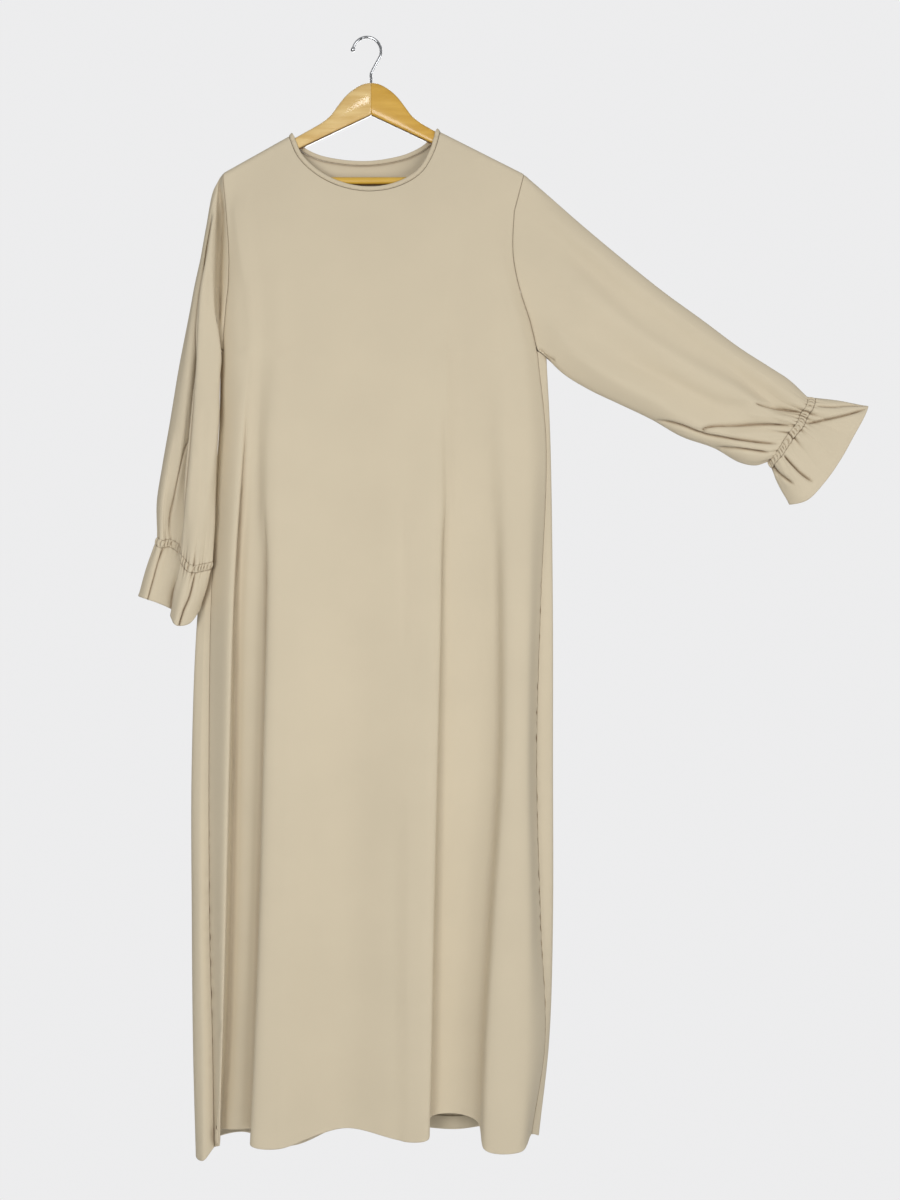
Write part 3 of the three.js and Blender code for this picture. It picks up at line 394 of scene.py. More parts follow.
def spline(knots, at, closed=True):
    """Points on a smooth line through knots[..., k, xyz], at places counted in knots."""
    knots = np.asarray(knots, float)
    count = knots.shape[-2]
    at = np.asarray(at, float)
    if closed:
        low = np.floor(at).astype(int)
        picks = [np.take(knots, (low + shift) % count, axis=-2) for shift in (-1, 0, 1, 2)]
    else:
        low = np.clip(np.floor(at).astype(int), 0, count - 2)
        first = 2 * knots[..., :1, :] - knots[..., 1:2, :]
        last = 2 * knots[..., -1:, :] - knots[..., -2:-1, :]
        longer = np.concatenate([first, knots, last], axis=-2)
        picks = [np.take(longer, low + shift, axis=-2) for shift in (0, 1, 2, 3)]
    p0, p1, p2, p3 = picks
    t = (at - low)[:, None]

    def gap(a, b):
        return np.maximum(np.sqrt(np.linalg.norm(a - b, axis=-1, keepdims=True)), 1e-2)

    d0, d1, d2 = gap(p0, p1), gap(p1, p2), gap(p2, p3)
    t1 = ((p1 - p0) / d0 - (p2 - p0) / (d0 + d1) + (p2 - p1) / d1) * d1
    t2 = ((p2 - p1) / d1 - (p3 - p1) / (d1 + d2) + (p3 - p2) / d2) * d1
    return (p1 + t1 * t + (-3 * p1 + 3 * p2 - 2 * t1 - t2) * t ** 2 + (2 * p1 - 2 * p2 + t1 + t2) * t ** 3)


def rings(levels, stations):
    """Lines round the body at levels from the underarm down: points [level, station, xyz]."""
    levels = np.asarray(levels, float)
    x = through([(level, [s[1][k] for s in STATIONS]) for k, level in enumerate(LEVELS)], levels)
    depth = through([(level, [s[2][k] for s in STATIONS]) for k, level in enumerate(LEVELS)], levels)
    hem_share = smooth((levels - HEM_CURVE_DROP) / (HEM_DROP - HEM_CURVE_DROP))[:, None] ** 1.5
    dip = np.zeros(ROUND)
    dip[NAMES.index("edge_right")] = UNDERARM_DIP
    dip = dip * (1 - smooth((levels - CHEST_DROP) / (UNDERARM_DIP_END - CHEST_DROP)))[:, None]
    drop = levels[:, None] + (np.array([s[3] for s in STATIONS]) - HEM_DROP) * hem_share + dip
    knots = np.stack([x, -depth, -drop], axis=-1)
    return spline(knots, np.asarray(stations, float) % ROUND)


def shoulder_drop(x):
    """The drop of the shoulder seam at x."""
    drops = [neck[1] + (x - neck[0]) / (tip[0] - neck[0]) * (tip[1] - neck[1])
             for neck, tip in SHOULDERS.values()]
    return np.where(x < HANGER_CENTRE, *drops)


def neck_points(side, share):
    """The neck seam's x and drop at shares of its length."""
    knots = np.array([(x, 0, -drop) for x, drop in NECKLINES[side]], float)
    fine = spline(knots, np.linspace(0, len(knots) - 1, 400), closed=False)
    run = lengths_along(fine)
    at = np.clip(share, 0, 1) * run[-1]
    return np.interp(at, run, fine[:, 0]), -np.interp(at, run, fine[:, 2])


def upper_panel(side, stations, rows):
    """The panel above the underarm. A row is ("yoke", v) from the top edge or ("drop", drop)."""
    cut = PANELS[side]
    s = np.asarray(stations, float)
    chest = rings([CHEST_DROP], s)[0]
    ends = rings([CHEST_DROP], [cut["left"], cut["right"], cut["neck_left"], cut["neck_right"]])[0]
    left_x, right_x, neck_left_x, neck_right_x = ends[:, 0]
    share = (chest[:, 0] - left_x) / (right_x - left_x)
    on_neck = (s - cut["neck_left"]) / (cut["neck_right"] - cut["neck_left"])
    neck_share = np.interp(on_neck, np.linspace(0, 1, len(NECK_SHARES)), NECK_SHARES)
    # the top edge: left shoulder, neck, right shoulder
    to_left = np.clip((chest[:, 0] - left_x) / (neck_left_x - left_x), 0, 1)
    to_right = np.clip((chest[:, 0] - neck_right_x) / (right_x - neck_right_x), 0, 1)
    (nl, tl), (nr, tr) = SHOULDERS["left"], SHOULDERS["right"]
    top_x, top_drop = (
        np.where(on_neck <= 0, blend(tl[k], nl[k], to_left),
                 np.where(on_neck >= 1, blend(nr[k], tr[k], to_right), at_neck))
        for k, at_neck in enumerate(neck_points(side, neck_share)))
    # threads spread evenly over the yoke and turn to their place on the chest
    spaced = np.where((on_neck > 0) & (on_neck < 1),
                      blend(cut["neck_left"], cut["neck_right"], (on_neck + neck_share) / 2), s)
    order = 1 if cut["right"] > cut["left"] else -1
    stops = [cut["left"], cut["neck_left"], cut["neck_right"], cut["right"]]
    yoke_x = np.interp(spaced * order, np.array(stops) * order,
                       [cut["arm_left"][0][1], NECK_YOKE[0], NECK_YOKE[1], cut["arm_right"][0][1]])
    yoke_depth = blend(cut["edge_depth"], cut["depth"], smooth(np.minimum(share, 1 - share) / 0.16))

    def below_yoke(drop):
        turned = smooth((drop - YOKE_DROP) / (CHEST_DROP - YOKE_DROP))
        x = blend(yoke_x, chest[:, 0], turned)
        left_now = blend(cut["arm_left"][0][1], left_x, turned)
        right_now = blend(cut["arm_right"][0][1], right_x, turned)
        x = x + (through(cut["arm_left"], drop) - left_now) * (1 - share) ** 4
        x = x + (through(cut["arm_right"], drop) - right_now) * share ** 4
        w = smooth((drop - YOKE_DROP + 40) / (CHEST_DROP - YOKE_DROP + 40))
        return x, blend(yoke_depth, -chest[:, 1], w)

    at_yoke_x, at_yoke_depth = below_yoke(YOKE_DROP)
    grid = []
    for kind, value in rows:
        if kind == "drop":
            x, depth = below_yoke(value)
            drop = np.full_like(x, value)
        else:
            x = blend(top_x, at_yoke_x, value)
            drop = blend(top_drop, YOKE_DROP, value)
            below = np.maximum(0, drop - shoulder_drop(x))
            rolled = np.sqrt(np.clip(1 - (1 - np.clip(below / SHOULDER_ROLL, 0, 1)) ** 2, 0, 1))
            over_arm = (ARM_SWEEP * np.abs(x - HANGER_CENTRE)
                        + cut["sign"] * (0.15 + (SHOULDER_DEPTH - 0.15) * rolled))
            room = np.maximum(10, YOKE_DROP - shoulder_drop(x) - SHOULDER_ROLL)
            depth = blend(over_arm, at_yoke_depth, smooth((below - SHOULDER_ROLL) / room))
        grid.append(np.stack([x, -depth, -drop], axis=-1))
    return np.array(grid)


YOKE_ROWS = [("yoke", v) for v in (0, .012, .025, .04, .06, .085, .115, .15, .19, .24, .3, .37, .44, .52, .6,
                                   .68, .76, .84, .92, 1)]
ARMHOLE_ROWS = [("drop", drop) for drop in np.arange(258, 447, 7)]
SKIRT_LEVELS = np.concatenate([np.arange(448, 1548, 5.0),
                               [1551, 1552, 1554, 1558, 1562, 1566, 1568.6, 1569.6, 1570]])


def outward(grid, closed=False):
    """Directions square to a grid of points. closed says that each row's end meets its start."""
    if closed:
        grid = np.concatenate([grid[:, -1:], grid, grid[:, :1]], axis=1)
    n = np.cross(np.gradient(grid, axis=0), np.gradient(grid, axis=1))
    n = n / np.maximum(np.linalg.norm(n, axis=-1, keepdims=True), 1e-9)
    return n[:, 1:-1] if closed else n


def run_along(grid, axis):
    """Lengths along a grid's rows or columns from their start."""
    steps = np.linalg.norm(np.diff(grid, axis=axis), axis=-1)
    pad = [(0, 0), (0, 0)]
    pad[axis] = (1, 0)
    return np.cumsum(np.pad(steps, pad), axis=axis)


def seam_puckers(distance, along, start, end, seed):
    """How far the cloth stands in or out beside a machined seam: a groove and small uneven puckers."""
    groove = -0.4 * np.exp(-(distance / 1.2) ** 2)
    where = smooth((along - start) / 60) * (1 - smooth((along - end) / 60)) * 0.85 + 0.15
    beat = (np.sin(along / 3.3 + 1.7 * np.sin(along / 23 + seed) + seed)
            + 0.6 * np.sin(along / 5.9 + seed * 2.1))
    mood = 0.55 + 0.45 * np.sin(along / 41 + seed * 1.3)
    return groove + 0.75 * beat * mood * where * np.exp(-(distance / 7.0) ** 2)


class Cloth:
    """A sheet of cloth under construction: points, faces and where each point lies on the flat cut."""

    def __init__(self):
        self.points, self.faces, self.cut, self.normals, self.crisp = [], [], [], [], []

    def grid(self, points, normals, cut):
        start = len(self.points)
        self.points += list(points.reshape(-1, 3))
        self.normals += list(normals.reshape(-1, 3))
        self.cut += list(cut.reshape(-1, 2))
        return start + np.arange(points.shape[0] * points.shape[1]).reshape(points.shape[:2])

    def turn_in(self, edge, amounts, closed=False):
        """Turns an edge into the garment as a seam allowance. edge is a line of vertex numbers."""
        edge = list(edge)
        rows = [edge]
        self.crisp += list(zip(edge[:-1], edge[1:])) + ([(edge[-1], edge[0])] if closed else [])
        for amount in amounts:
            row = []
            for number in edge:
                row.append(len(self.points))
                self.points.append(self.points[number] - self.normals[number] * amount)
                self.normals.append(self.normals[number])
                self.cut.append(self.cut[number] + np.array([0.0, amount / 1000]))
            rows.append(row)
        return rows


def crepe(name, tone=(1.0, 1.0, 1.0), fold_reach=0.009):
    """Matte sand crepe: a pebbled, finely twisted weave with slight unevenness of tone, and painted shade, a
    deeper tone in folds narrower than about twice fold_reach."""
    material, nodes, links, surface = shader(name, (0.6, 0.5, 0.35), 0.86, Sheen_Weight=0.12,
                                             Sheen_Roughness=0.45, Specular_IOR_Level=0.25)
    place = nodes.new("ShaderNodeTexCoord")
    clouds = new_node(nodes, "ShaderNodeTexNoise", Scale=9, Detail=3)
    base = np.array(CREPE_TONE) * tone
    tones = tone_ramp(nodes, (0.25, base * 0.975), (0.75, base * 1.02))
    # Painted shade: how closed-in the surface is darkens the base colour toward a dark brown in narrow folds
    # and seams.
    folds = new_node(nodes, "ShaderNodeAmbientOcclusion", Distance=fold_reach)
    folds.samples = 5
    fold_shade = tone_mix(nodes, PAINTED_FOLD_SHADE)
    pebble = new_node(nodes, "ShaderNodeTexNoise", Scale=950, Detail=2)
    yarn = new_node(nodes, "ShaderNodeTexWave", Scale=420, Distortion=3, Detail=1)
    yarn.wave_type, yarn.bands_direction = "BANDS", "DIAGONAL"
    both = nodes.new("ShaderNodeMath")
    both.operation = "MULTIPLY_ADD"
    both.inputs[1].default_value = 0.35
    relief = new_node(nodes, "ShaderNodeBump", Strength=0.35, Distance=0.00018)
    join(links, (place, "Object", clouds, "Vector"), (place, "Object", pebble, "Vector"),
         (place, "UV", yarn, "Vector"), (clouds, "Fac", tones, "Fac"), (folds, "AO", fold_shade, "Factor"),
         (tones, "Color", fold_shade, "B"), (fold_shade, "Result", surface, "Base Color"),
         (yarn, "Fac", both, 0), (pebble, "Fac", both, 2), (both, "Value", relief, "Height"),
         (relief, "Normal", surface, "Normal"))
    return material


CREPE_TONE = (0.625, 0.54, 0.395)
# The dark brown toward which the crepe is painted in narrow folds, as shade.
PAINTED_FOLD_SHADE = (0.17, 0.085, 0.03)
sand_crepe = crepe("sand_crepe")
gathered_crepe = crepe("gathered_crepe", fold_reach=0.004)


def sewn_panel(side, stations, upper_stations):
    """A body panel as a Cloth, and its sewn edges as (points, directions out of the cloth, way on)."""
    sign = PANELS[side]["sign"]
    stations, upper_stations = np.asarray(stations, float), np.asarray(upper_stations, float)
    upper = upper_panel(side, upper_stations, YOKE_ROWS + ARMHOLE_ROWS)
    lower = rings(SKIRT_LEVELS, stations)
    start = int(np.argmin(np.abs(stations - upper_stations[0])))
    end = start + len(upper_stations)
    whole = np.concatenate([upper, lower[:, start:end]])
    flip = -1 if np.mean(outward(whole)[..., 1]) * sign > 0 else 1
    whole_out, lower_out = flip * outward(whole), flip * outward(lower)
    ways = {"first_armhole": (whole[:, 0] - whole[:, 1])[:len(upper) + 1],
            "last_armhole": (whole[:, -1] - whole[:, -2])[:len(upper) + 1], "top": whole[0] - whole[1]}

    def dressed(points, out, drops):
        run = run_along(points, 1)
        (first, last), left = SEAM_PUCKERS[side], run[:, -1:] - run
        moved = seam_puckers(run, drops, *first, 0.4) + seam_puckers(left, drops, *last, 2.2)
        moved = moved + creases(points, out, CREASES[side]) + unevenness(points, sign)
        return points + out * moved[..., None], run

    upper, run_upper = dressed(upper, whole_out[:len(upper)], -upper[..., 2])
    fresh, run_lower = dressed(lower, lower_out, -lower[..., 2])
    settled = smooth((SKIRT_LEVELS - CHEST_DROP) / 12)[:, None, None]
    lower = blend(lower - 1.1 * (1 - settled) * lower_out * edge_only(run_lower)[..., None], fresh, settled)
    cloth = Cloth()
    upper_numbers, lower_numbers = (
        cloth.grid(points, out, np.stack([run, -points[..., 2]], axis=-1) / 1000)
        for points, out, run in ((upper, whole_out[:len(upper)], run_upper), (lower, lower_out, run_lower)))
    # the hem is turned up inside
    drops = np.array([0.4, 1.4, 4, 8, 12, 16, 18, HEM_TURN_UP])
    aways = np.array([0.5, 1.1, 1.4, 1.5, 1.5, 1.4, 1.2, 0.9])
    level_index = np.searchsorted(-SKIRT_LEVELS[::-1], -(HEM_DROP - drops))
    turned_up = lower[::-1][level_index] - lower_out[::-1][level_index] * aways[:, None, None]
    hem_cut = np.stack([np.repeat(run_lower[-1:], len(drops), axis=0),
                        (HEM_CUT_START + drops)[:, None] + 0 * run_lower[-1:]], axis=-1) / 1000
    fold_numbers = cloth.grid(turned_up, np.repeat(lower_out[-1:], len(drops), axis=0), hem_cut)
    joined = lower_numbers[:1, start:end]
    turned = flip > 0
    cloth.faces += rows_of_faces(np.concatenate([upper_numbers, joined]), flip=turned)
    cloth.faces += rows_of_faces(np.concatenate([lower_numbers, fold_numbers]), flip=turned)
    numbers = {"first_armhole": [*upper_numbers[:, 0], joined[0, 0]],
               "last_armhole": [*upper_numbers[:, -1], joined[0, -1]],
               "first_side": lower_numbers[:, 0], "last_side": lower_numbers[:, -1],
               "first_strip": lower_numbers[0, :start + 1], "last_strip": lower_numbers[0, end - 1:],
               "top": upper_numbers[0]}
    edges = {}
    for key, edge in numbers.items():
        if len(edge) < 2:
            continue
        edges[key] = (np.array(cloth.points)[edge], np.array(cloth.normals)[edge], ways.get(key))
        cloth.faces += rows_of_faces(cloth.turn_in(edge, TOP_ALLOWANCE if key == "top" else SEAM_ALLOWANCE),
                                     flip=turned != (key in ("first_armhole", "first_side")))
    edges["hem_stitching"] = (lower[::-1][level_index[-1]], lower_out[::-1][level_index[-1]], None)
    return cloth, edges


def edge_only(run):
    """1 at a row's two ends, 0 past the first few millimetres."""
    return np.exp(-(run / 1.5) ** 2) + np.exp(-((run[:, -1:] - run) / 1.5) ** 2)


CREASE_STEPS = 60
# A crease fades out over this share of its length at both ends, and one deeper than SHARP_DEPTH has a
# sharper foot.
CREASE_RUN_OUT = 0.18
SHARP_DEPTH = 3
SHARP_POWER = 1.1


def creases(points, out, lines):
    """How far creases move the cloth. A line is (stops of [x, drop], width, height, in front)."""
    moved = np.zeros(points.shape[:-1])
    for stops, width, height, in_front in lines:
        knots = np.array([(x, 0, -drop) for x, drop in stops], float)
        path = spline(knots, np.linspace(0, len(stops) - 1, CREASE_STEPS), closed=False)[:, [0, 2]]
        a, step = path[:-1], np.diff(path, axis=0)
        size = np.maximum((step ** 2).sum(-1), 1e-9)
        flat = points[..., [0, 2]].reshape(-1, 2)
        near = np.all((flat > path.min(0) - 3 * width) & (flat < path.max(0) + 3 * width), axis=1)
        near &= (out[..., 1].reshape(-1) < 0.25) if in_front else (out[..., 1].reshape(-1) > -0.25)
        if not near.any():
            continue
        rel = flat[near][:, None] - a[None]
        t = np.clip((rel * step[None]).sum(-1) / size[None], 0, 1)
        gap = np.linalg.norm(rel - t[..., None] * step[None], axis=-1)
        best = gap.argmin(1)
        rows = np.arange(len(best))
        along = (best + t[rows, best]) / len(a)
        ends = smooth(along / CREASE_RUN_OUT) * smooth((1 - along) / CREASE_RUN_OUT)
        power = SHARP_POWER if height < -SHARP_DEPTH else 2
        moved.reshape(-1)[near] += height * ends * np.exp(-(gap[rows, best] / width) ** power)
    return moved


def unevenness(points, seed):
    """The slight unevenness of cloth that hangs: long faint swells, a fraction of a millimetre high."""
    x, drop = points[..., 0], -points[..., 2]
    swell = (np.sin(x / 15 + 1.1 * np.sin(drop / 190 + seed) + seed)
             + 0.8 * np.sin(x / 8.3 + drop / 310 + seed * 2))
    return 0.16 * swell * smooth((drop - 330) / 500)


# Soft creases on the panels: stops of [x, drop], width, height (below 0 for a trough), in front.
CREASES = {
    "front": [
        ([(-164, 440), (-174.5, 700), (-178.5, 803), (-182.5, 1032), (-187, 1272), (-192, 1432),
          (-199.5, 1556), (-210, 1850)], 5.2, -15.0, True),
        ([(-143, 660), (-147, 803), (-153, 1032), (-159, 1272), (-164, 1432), (-169, 1556),
          (-182, 1850)], 4.0, -13.0, True),
        ([(112, 400), (115, 560), (116, 720)], 8, 3.0, True),
        ([(112, 640), (111, 803), (105, 1086), (99, 1369), (96, 1500), (90, 1800)], 4.2, -5.5, True),
        ([(184, 640), (185, 803), (184, 1032), (170, 1272), (161.5, 1432), (157.5, 1556),
          (150, 1850)], 6, -3.0, True),
        ([(45, 1050), (44, 1250), (44, 1369), (46, 1500), (50, 1800)], 14, -2.0, True),
        ([(-78, 1050), (-82, 1250), (-86, 1400), (-88, 1700)], 20, -1.8, True),
        ([(52, 650), (54, 760), (55, 900)], 7, -1.0, True),
        ([(-177, 330), (-172, 420), (-168, 520)], 10, -1.6, True),
        ([(-120, 300), (-122, 420), (-127, 560)], 16, 1.4, True),
        ([(120, 380), (124, 520), (122, 700)], 12, -1.2, True),
        ([(176, 360), (180, 480), (186, 640)], 16, 1.2, True),
        ([(-204, 1395), (-214, 1420)], 5, -1.2, True),
        ([(46, 1555), (50, 1571)], 3, -1.0, True),
    ],
    "back": [
        ([(-60, 420), (-66, 620), (-64, 860)], 14, -1.4, False),
        ([(86, 400), (88, 600), (84, 900)], 12, -1.2, False),
        ([(160, 420), (164, 620), (160, 840)], 12, 1.2, False),
        ([(-150, 380), (-150, 560), (-146, 760)], 12, 1.2, False),
        ([(20, 560), (16, 800), (18, 1010)], 9, -0.9, False),
    ],
}
SEAM_PUCKERS = {"front": ((1100, 1430), (740, 1390)), "back": ((740, 1390), (1100, 1430))}


def hang(cloth, name, node, material, flat, area, held, rests_on, thickness=0.6):
    """Makes a Cloth a sheet piece with a real thickness. Its flat size is not used."""
    piece = new_piece(name, cloth.points, cloth.faces, material, [node], uv=cloth.cut, crisp=cloth.crisp)
    wall = piece.modifiers.new("thickness", "SOLIDIFY")
    wall.thickness = thickness / 1000
    wall.offset = -1


def stations_between(stops):
    """Places round the body between stops of (station, how many places to a station from here on)."""
    places = [np.linspace(a, b, max(2, int(round(abs(b - a) * n)) + 1))[:-1]
              for (a, n), (b, _) in zip(stops, stops[1:])]
    return np.concatenate(places + [[stops[-1][0]]])


# Threads lie close under the neckline, where the cloth's edge is cut in a curve.
COARSE, CLOSE = 10, 64 / 3

front_stations = stations_between([(0, COARSE), (5, CLOSE), (8, COARSE), (13, COARSE)])
front_cloth, front_edges = sewn_panel("front", front_stations, front_stations)
hang(front_cloth, "front_panel", "front", sand_crepe, (0.58, 1.46), 0.745, "hung", ["arm_left", "arm_right"])


# ---------------------------------------------------------------------------------------------
# The back: one long panel of the same crepe, cut wider than the front, so that it rolls round
# to the front beyond both side seams. It hangs in softer folds and has the higher neckline.
# ---------------------------------------------------------------------------------------------
back_upper_stations = stations_between([(15, COARSE), (17, CLOSE), (20, COARSE), (22, COARSE)])
back_stations = np.concatenate([np.linspace(13, 15, 25)[:-1], back_upper_stations,
                                np.linspace(22, 25, 37)[1:]])
back_cloth, back_edges = sewn_panel("back", back_stations, back_upper_stations)
hang(back_cloth, "back_panel", "back", sand_crepe, (0.63, 1.47), 0.815, "hung", ["arm_left", "arm_right"])


# ---------------------------------------------------------------------------------------------
# The neck binding: a bias-cut strip of the same crepe, folded double round the raw neck edge and
# stitched down, so that it stands as a narrow rounded band along the whole neckline.
# ---------------------------------------------------------------------------------------------
BINDING_WIDTH = 7.0
BINDING_THICKNESS = 2.0
BINDING_STEPS = 420
# Across the band: up the outside from the seam, over the fold, down the inside.
BINDING_SECTION = [(0.3, -0.1), (0.5, 0.55), (1.2, 0.95), (1.7, 0.8), (2.3, 1.0), (3.6, 1.12), (5.0, 1.02),
                   (6.1, 0.8), (6.75, 0.42), (7.0, 0), (6.75, -0.42), (6.1, -0.8), (5.0, -1.02), (3.6, -1.1),
                   (2.3, -1.0), (1.7, -0.8), (1.2, -0.95), (0.5, -0.6)]


def closed_up(line):
    """A closed line's points, with the first one again at its end."""
    return np.concatenate([line, line[:1]])


def picked(line, run, at):
    """Points on a line whose own points lie at the lengths run."""
    return np.stack([np.interp(at, run, line[:, k]) for k in range(3)], axis=1)


def even_ring(points, vectors, count):
    """A closed line's points and its vectors at even lengths round it."""
    run = lengths_along(closed_up(points))
    at = np.linspace(0, run[-1], count, endpoint=False)
    return picked(closed_up(points), run, at), [picked(closed_up(v), run, at) for v in vectors]


def unit(v):
    return v / np.maximum(np.linalg.norm(v, axis=-1, keepdims=True), 1e-9)


def smoothed(values, times):
    """Values round a closed line, evened out with their neighbours."""
    for _ in range(times):
        values = (np.roll(values, 1, axis=0) + 2 * values + np.roll(values, -1, axis=0)) / 4
    return values


def bound_neck():
    """The band as a Cloth, and the neck line with its directions out of the cloth and up the band."""
    lines = []
    for edges, stations, low, high in ((front_edges, front_stations, 5, 8),
                                       (back_edges, back_upper_stations, 17, 20)):
        points, out, way = edges["top"]
        on_neck = (stations >= low - 1e-6) & (stations <= high + 1e-6)
        lines.append([points[on_neck], unit(out[on_neck]), unit(way[on_neck])])
    (front_points, front_out, front_way), (back_points, back_out, back_way) = lines
    points = np.concatenate([front_points, back_points[1:-1]])
    middle_depth = ARM_SWEEP * np.abs(points[:, 0] - HANGER_CENTRE)
    for k in (0, len(front_points) - 1):
        points[k, 1] = -middle_depth[k]
        front_way[k] = (0.96 if k == 0 else -0.96, 0, 0.28)
    out = np.concatenate([front_out, back_out[1:-1]])
    way = np.concatenate([front_way, back_way[1:-1]])
    points, (out, way) = even_ring(points, [out, way], BINDING_STEPS)
    out, way = unit(smoothed(out, 14)), unit(smoothed(way, 14))
    along = unit(np.roll(points, -1, axis=0) - np.roll(points, 1, axis=0))
    way = unit(way - along * (way * along).sum(-1, keepdims=True))
    out = unit(np.cross(along, way)) * np.sign((np.cross(along, way) * out).sum(-1, keepdims=True))
    half = BINDING_THICKNESS / 2
    steps = np.arange(BINDING_STEPS)
    around = steps * 2 * math.pi / BINDING_STEPS
    ripple = (0.1 * np.sin(around * 61 + 2 * np.sin(around * 7))
              + 0.08 * np.sin(around * 97 + 3 * np.sin(around * 5)))
    grid = np.stack([points + way * (a * BINDING_WIDTH / 7)
                     + out * ((b + ripple * min(1, a / 2) * np.sign(b)) * half)[:, None]
                     for a, b in BINDING_SECTION])
    across = np.arange(len(BINDING_SECTION))[:, None] * 1.0
    cut = np.stack(np.broadcast_arrays(steps[None] * 1.5, across), axis=-1) / 1000
    cloth = Cloth()
    rows = cloth.grid(grid, np.repeat(out[None], len(BINDING_SECTION), axis=0), cut)
    spin = (np.cross(grid[1, 0] - grid[0, 0], grid[0, 1] - grid[0, 0]) * out[0]).sum()
    cloth.faces += rows_of_faces(rows, closed=True, flip=spin < 0)
    return cloth, points, out, way


neck_cloth, neck_line, neck_out, neck_way = bound_neck()
binding_crepe = crepe("binding_crepe", (0.985, 0.98, 0.97), 0.003)
hang(neck_cloth, "neck_binding_strip", "neck_binding", binding_crepe, (0.0145, 0.56), 0.0079, "stretched",
     ["front_panel", "back_panel"], thickness=0.3)


# ---------------------------------------------------------------------------------------------
# The hanging sleeve: crepe, set into the armhole. It falls straight down beside the body in
# three folds that lie over each other, and is gathered into a narrow channel above the wrist.
# ---------------------------------------------------------------------------------------------
FRILL_HEM = 5.0
# Loops run down the front from top to under and back up behind: (share of the way, depth). A third
# number moves the cloth sideways: the sleeve's inner fold lies over the body's edge.
HANGING_LOOPS = [
    ((-209.5, 201), (-213.5, 452), [(0, 4), (.05, 8), (.1, 8), (.16, 6), (.24, 3), (.55, 2), (.92, 6),
                                    (1, -2), (.92, -10), (.5, -10), (.2, -5)]),
    ((-213, 208), (-214.5, 463), [(0, 5), (.05, 12), (.1, 13), (.15, 13), (.22, 15), (.5, 15), (.9, 12),
                                  (1, 0), (.91, -10), (.5, -13), (.18, -7)]),
    ((-219, 221), (-215, 476), [(0, 6), (.06, 13), (.1, 14), (.14, 15), (.2, 20), (.5, 21), (.87, 18, 6),
                                (1, 4), (.88, -9), (.5, -14), (.15, -8)]),
    ((-229, 270), (-213.5, 487), [(0, 3), (.05, 9), (.1, 10), (.14, 9), (.165, 20), (.5, 25), (.85, 22, 10),
                                  (1, 8), (.86, -8), (.5, -14), (.15, -10)]),
    ((-239, 325), (-213, 504), [(0, 2), (.07, 9), (.13, 10), (.19, 8), (.195, 22), (.55, 29), (.85, 25, 10),
                                (1, 10), (.88, -4), (.5, -13), (.12, -11)]),
    ((-250, 381), (-212.5, 524), [(0, 2), (.08, 10), (.18, 11), (.29, 8), (.275, 24), (.6, 31),
                                  (.85, 27, 10), (1, 12), (.88, 1), (.5, -10), (.12, -11)]),
    ((-259, 425), (-211, 548), [(0, 2), (.1, 12), (.22, 13), (.38, 8), (.355, 26), (.65, 34), (.87, 30, 9),
                                (1, 16), (.88, 8), (.5, -5), (.12, -10)]),
    ((-268, 471), (-211.5, 578), [(0, 2), (.12, 14), (.27, 14), (.43, 9), (.40, 28), (.68, 36),
                                  (.88, 32, 8), (1, 20), (.88, 12), (.5, -1), (.12, -9)]),
    ((-280, 544), (-212.5, 614), [(0, 2), (.14, 16), (.34, 13), (.47, 10), (.44, 30), (.7, 38),
                                  (.88, 34, 6), (1, 23), (.88, 13), (.5, 5), (.12, -7)]),
    ((-292, 615), (-214, 655), [(0, 2), (.14, 17), (.305, 12), (.50, 10), (.47, 31), (.72, 39),
                                (.88, 35, 3), (1, 23), (.88, 13), (.5, 8), (.12, -5)]),
    ((-299, 665), (-214.5, 690), [(0, 3), (.12, 17), (.27, 10), (.51, 11), (.485, 31), (.72, 39), (.88, 35),
                                  (1, 24), (.88, 14), (.5, 9), (.12, -4)]),
]
HANGING_GATHER = [(-297, 713, 6), (-289, 718, 15), (-280, 716, 8), (-264, 726, 13), (-260, 738, 26),
                  (-246, 753, 33), (-233, 752, 30), (-219, 748, 21), (-225, 743, 12), (-250, 734, 9),
(-282, 719, 0)]
HANGING_FRILL_HEM = [(-325, 797, 8), (-312, 801, 21), (-298, 806, 15), (-280, 815, 15), (-276, 826, 27),
                     (-267, 838, 36), (-250, 836, 30), (-236, 812, 14), (-246, 812, 4), (-276, 813, -4),
(-308, 802, -3)]
GATHER_WIDTH = 11.0
EASE_PUCKERS = 46
CHANNEL_ROWS = 17
CHANNEL_CRESCENTS = 43
FRILL_ROWS = 44
SEAM_GAP = 0.3


def placed(knots):
    return np.array([(x, -depth, -drop) for x, drop, depth in knots], float)


def loop_knots(top, under, shape):
    return np.array([(blend(top[0], under[0], at) + sum(aside), -depth, -blend(top[1], under[1], at))
                     for at, depth, *aside in shape])


def armhole(is_left):
    """The sleeve's first line, down the front, under the arm and up the back, a seam's gap off the body,
    and the number of its point under the arm."""
    front_key, back_key = ("first_armhole", "last_armhole") if is_left else ("last_armhole", "first_armhole")
    points, _, way = front_edges[front_key]
    back_points, _, back_way = (v[::-1] for v in back_edges[back_key])
    strip = back_edges["last_strip"][0][::-1] if is_left else back_edges["first_strip"][0]
    line = np.concatenate([points[:-1], strip[1:-1] + (0, 0, 1.1), back_points[1:]])
    upward = np.repeat([[0.0, 0.0, 1.0]], len(strip) - 2, axis=0)
    ways = np.concatenate([unit(way)[:-1], upward, unit(back_way)[1:]])
    return line + ways * SEAM_GAP, len(points) - 1 + (len(strip) - 2) // 2


def shares_round(line, under):
    """Shares of the way round a closed line: 0 at its start and 0.5 at the point under it."""
    run = lengths_along(closed_up(line))
    return np.where(np.arange(len(run)) <= under, 0.5 * run / run[under],
                    0.5 + 0.5 * (run - run[under]) / (run[-1] - run[under]))


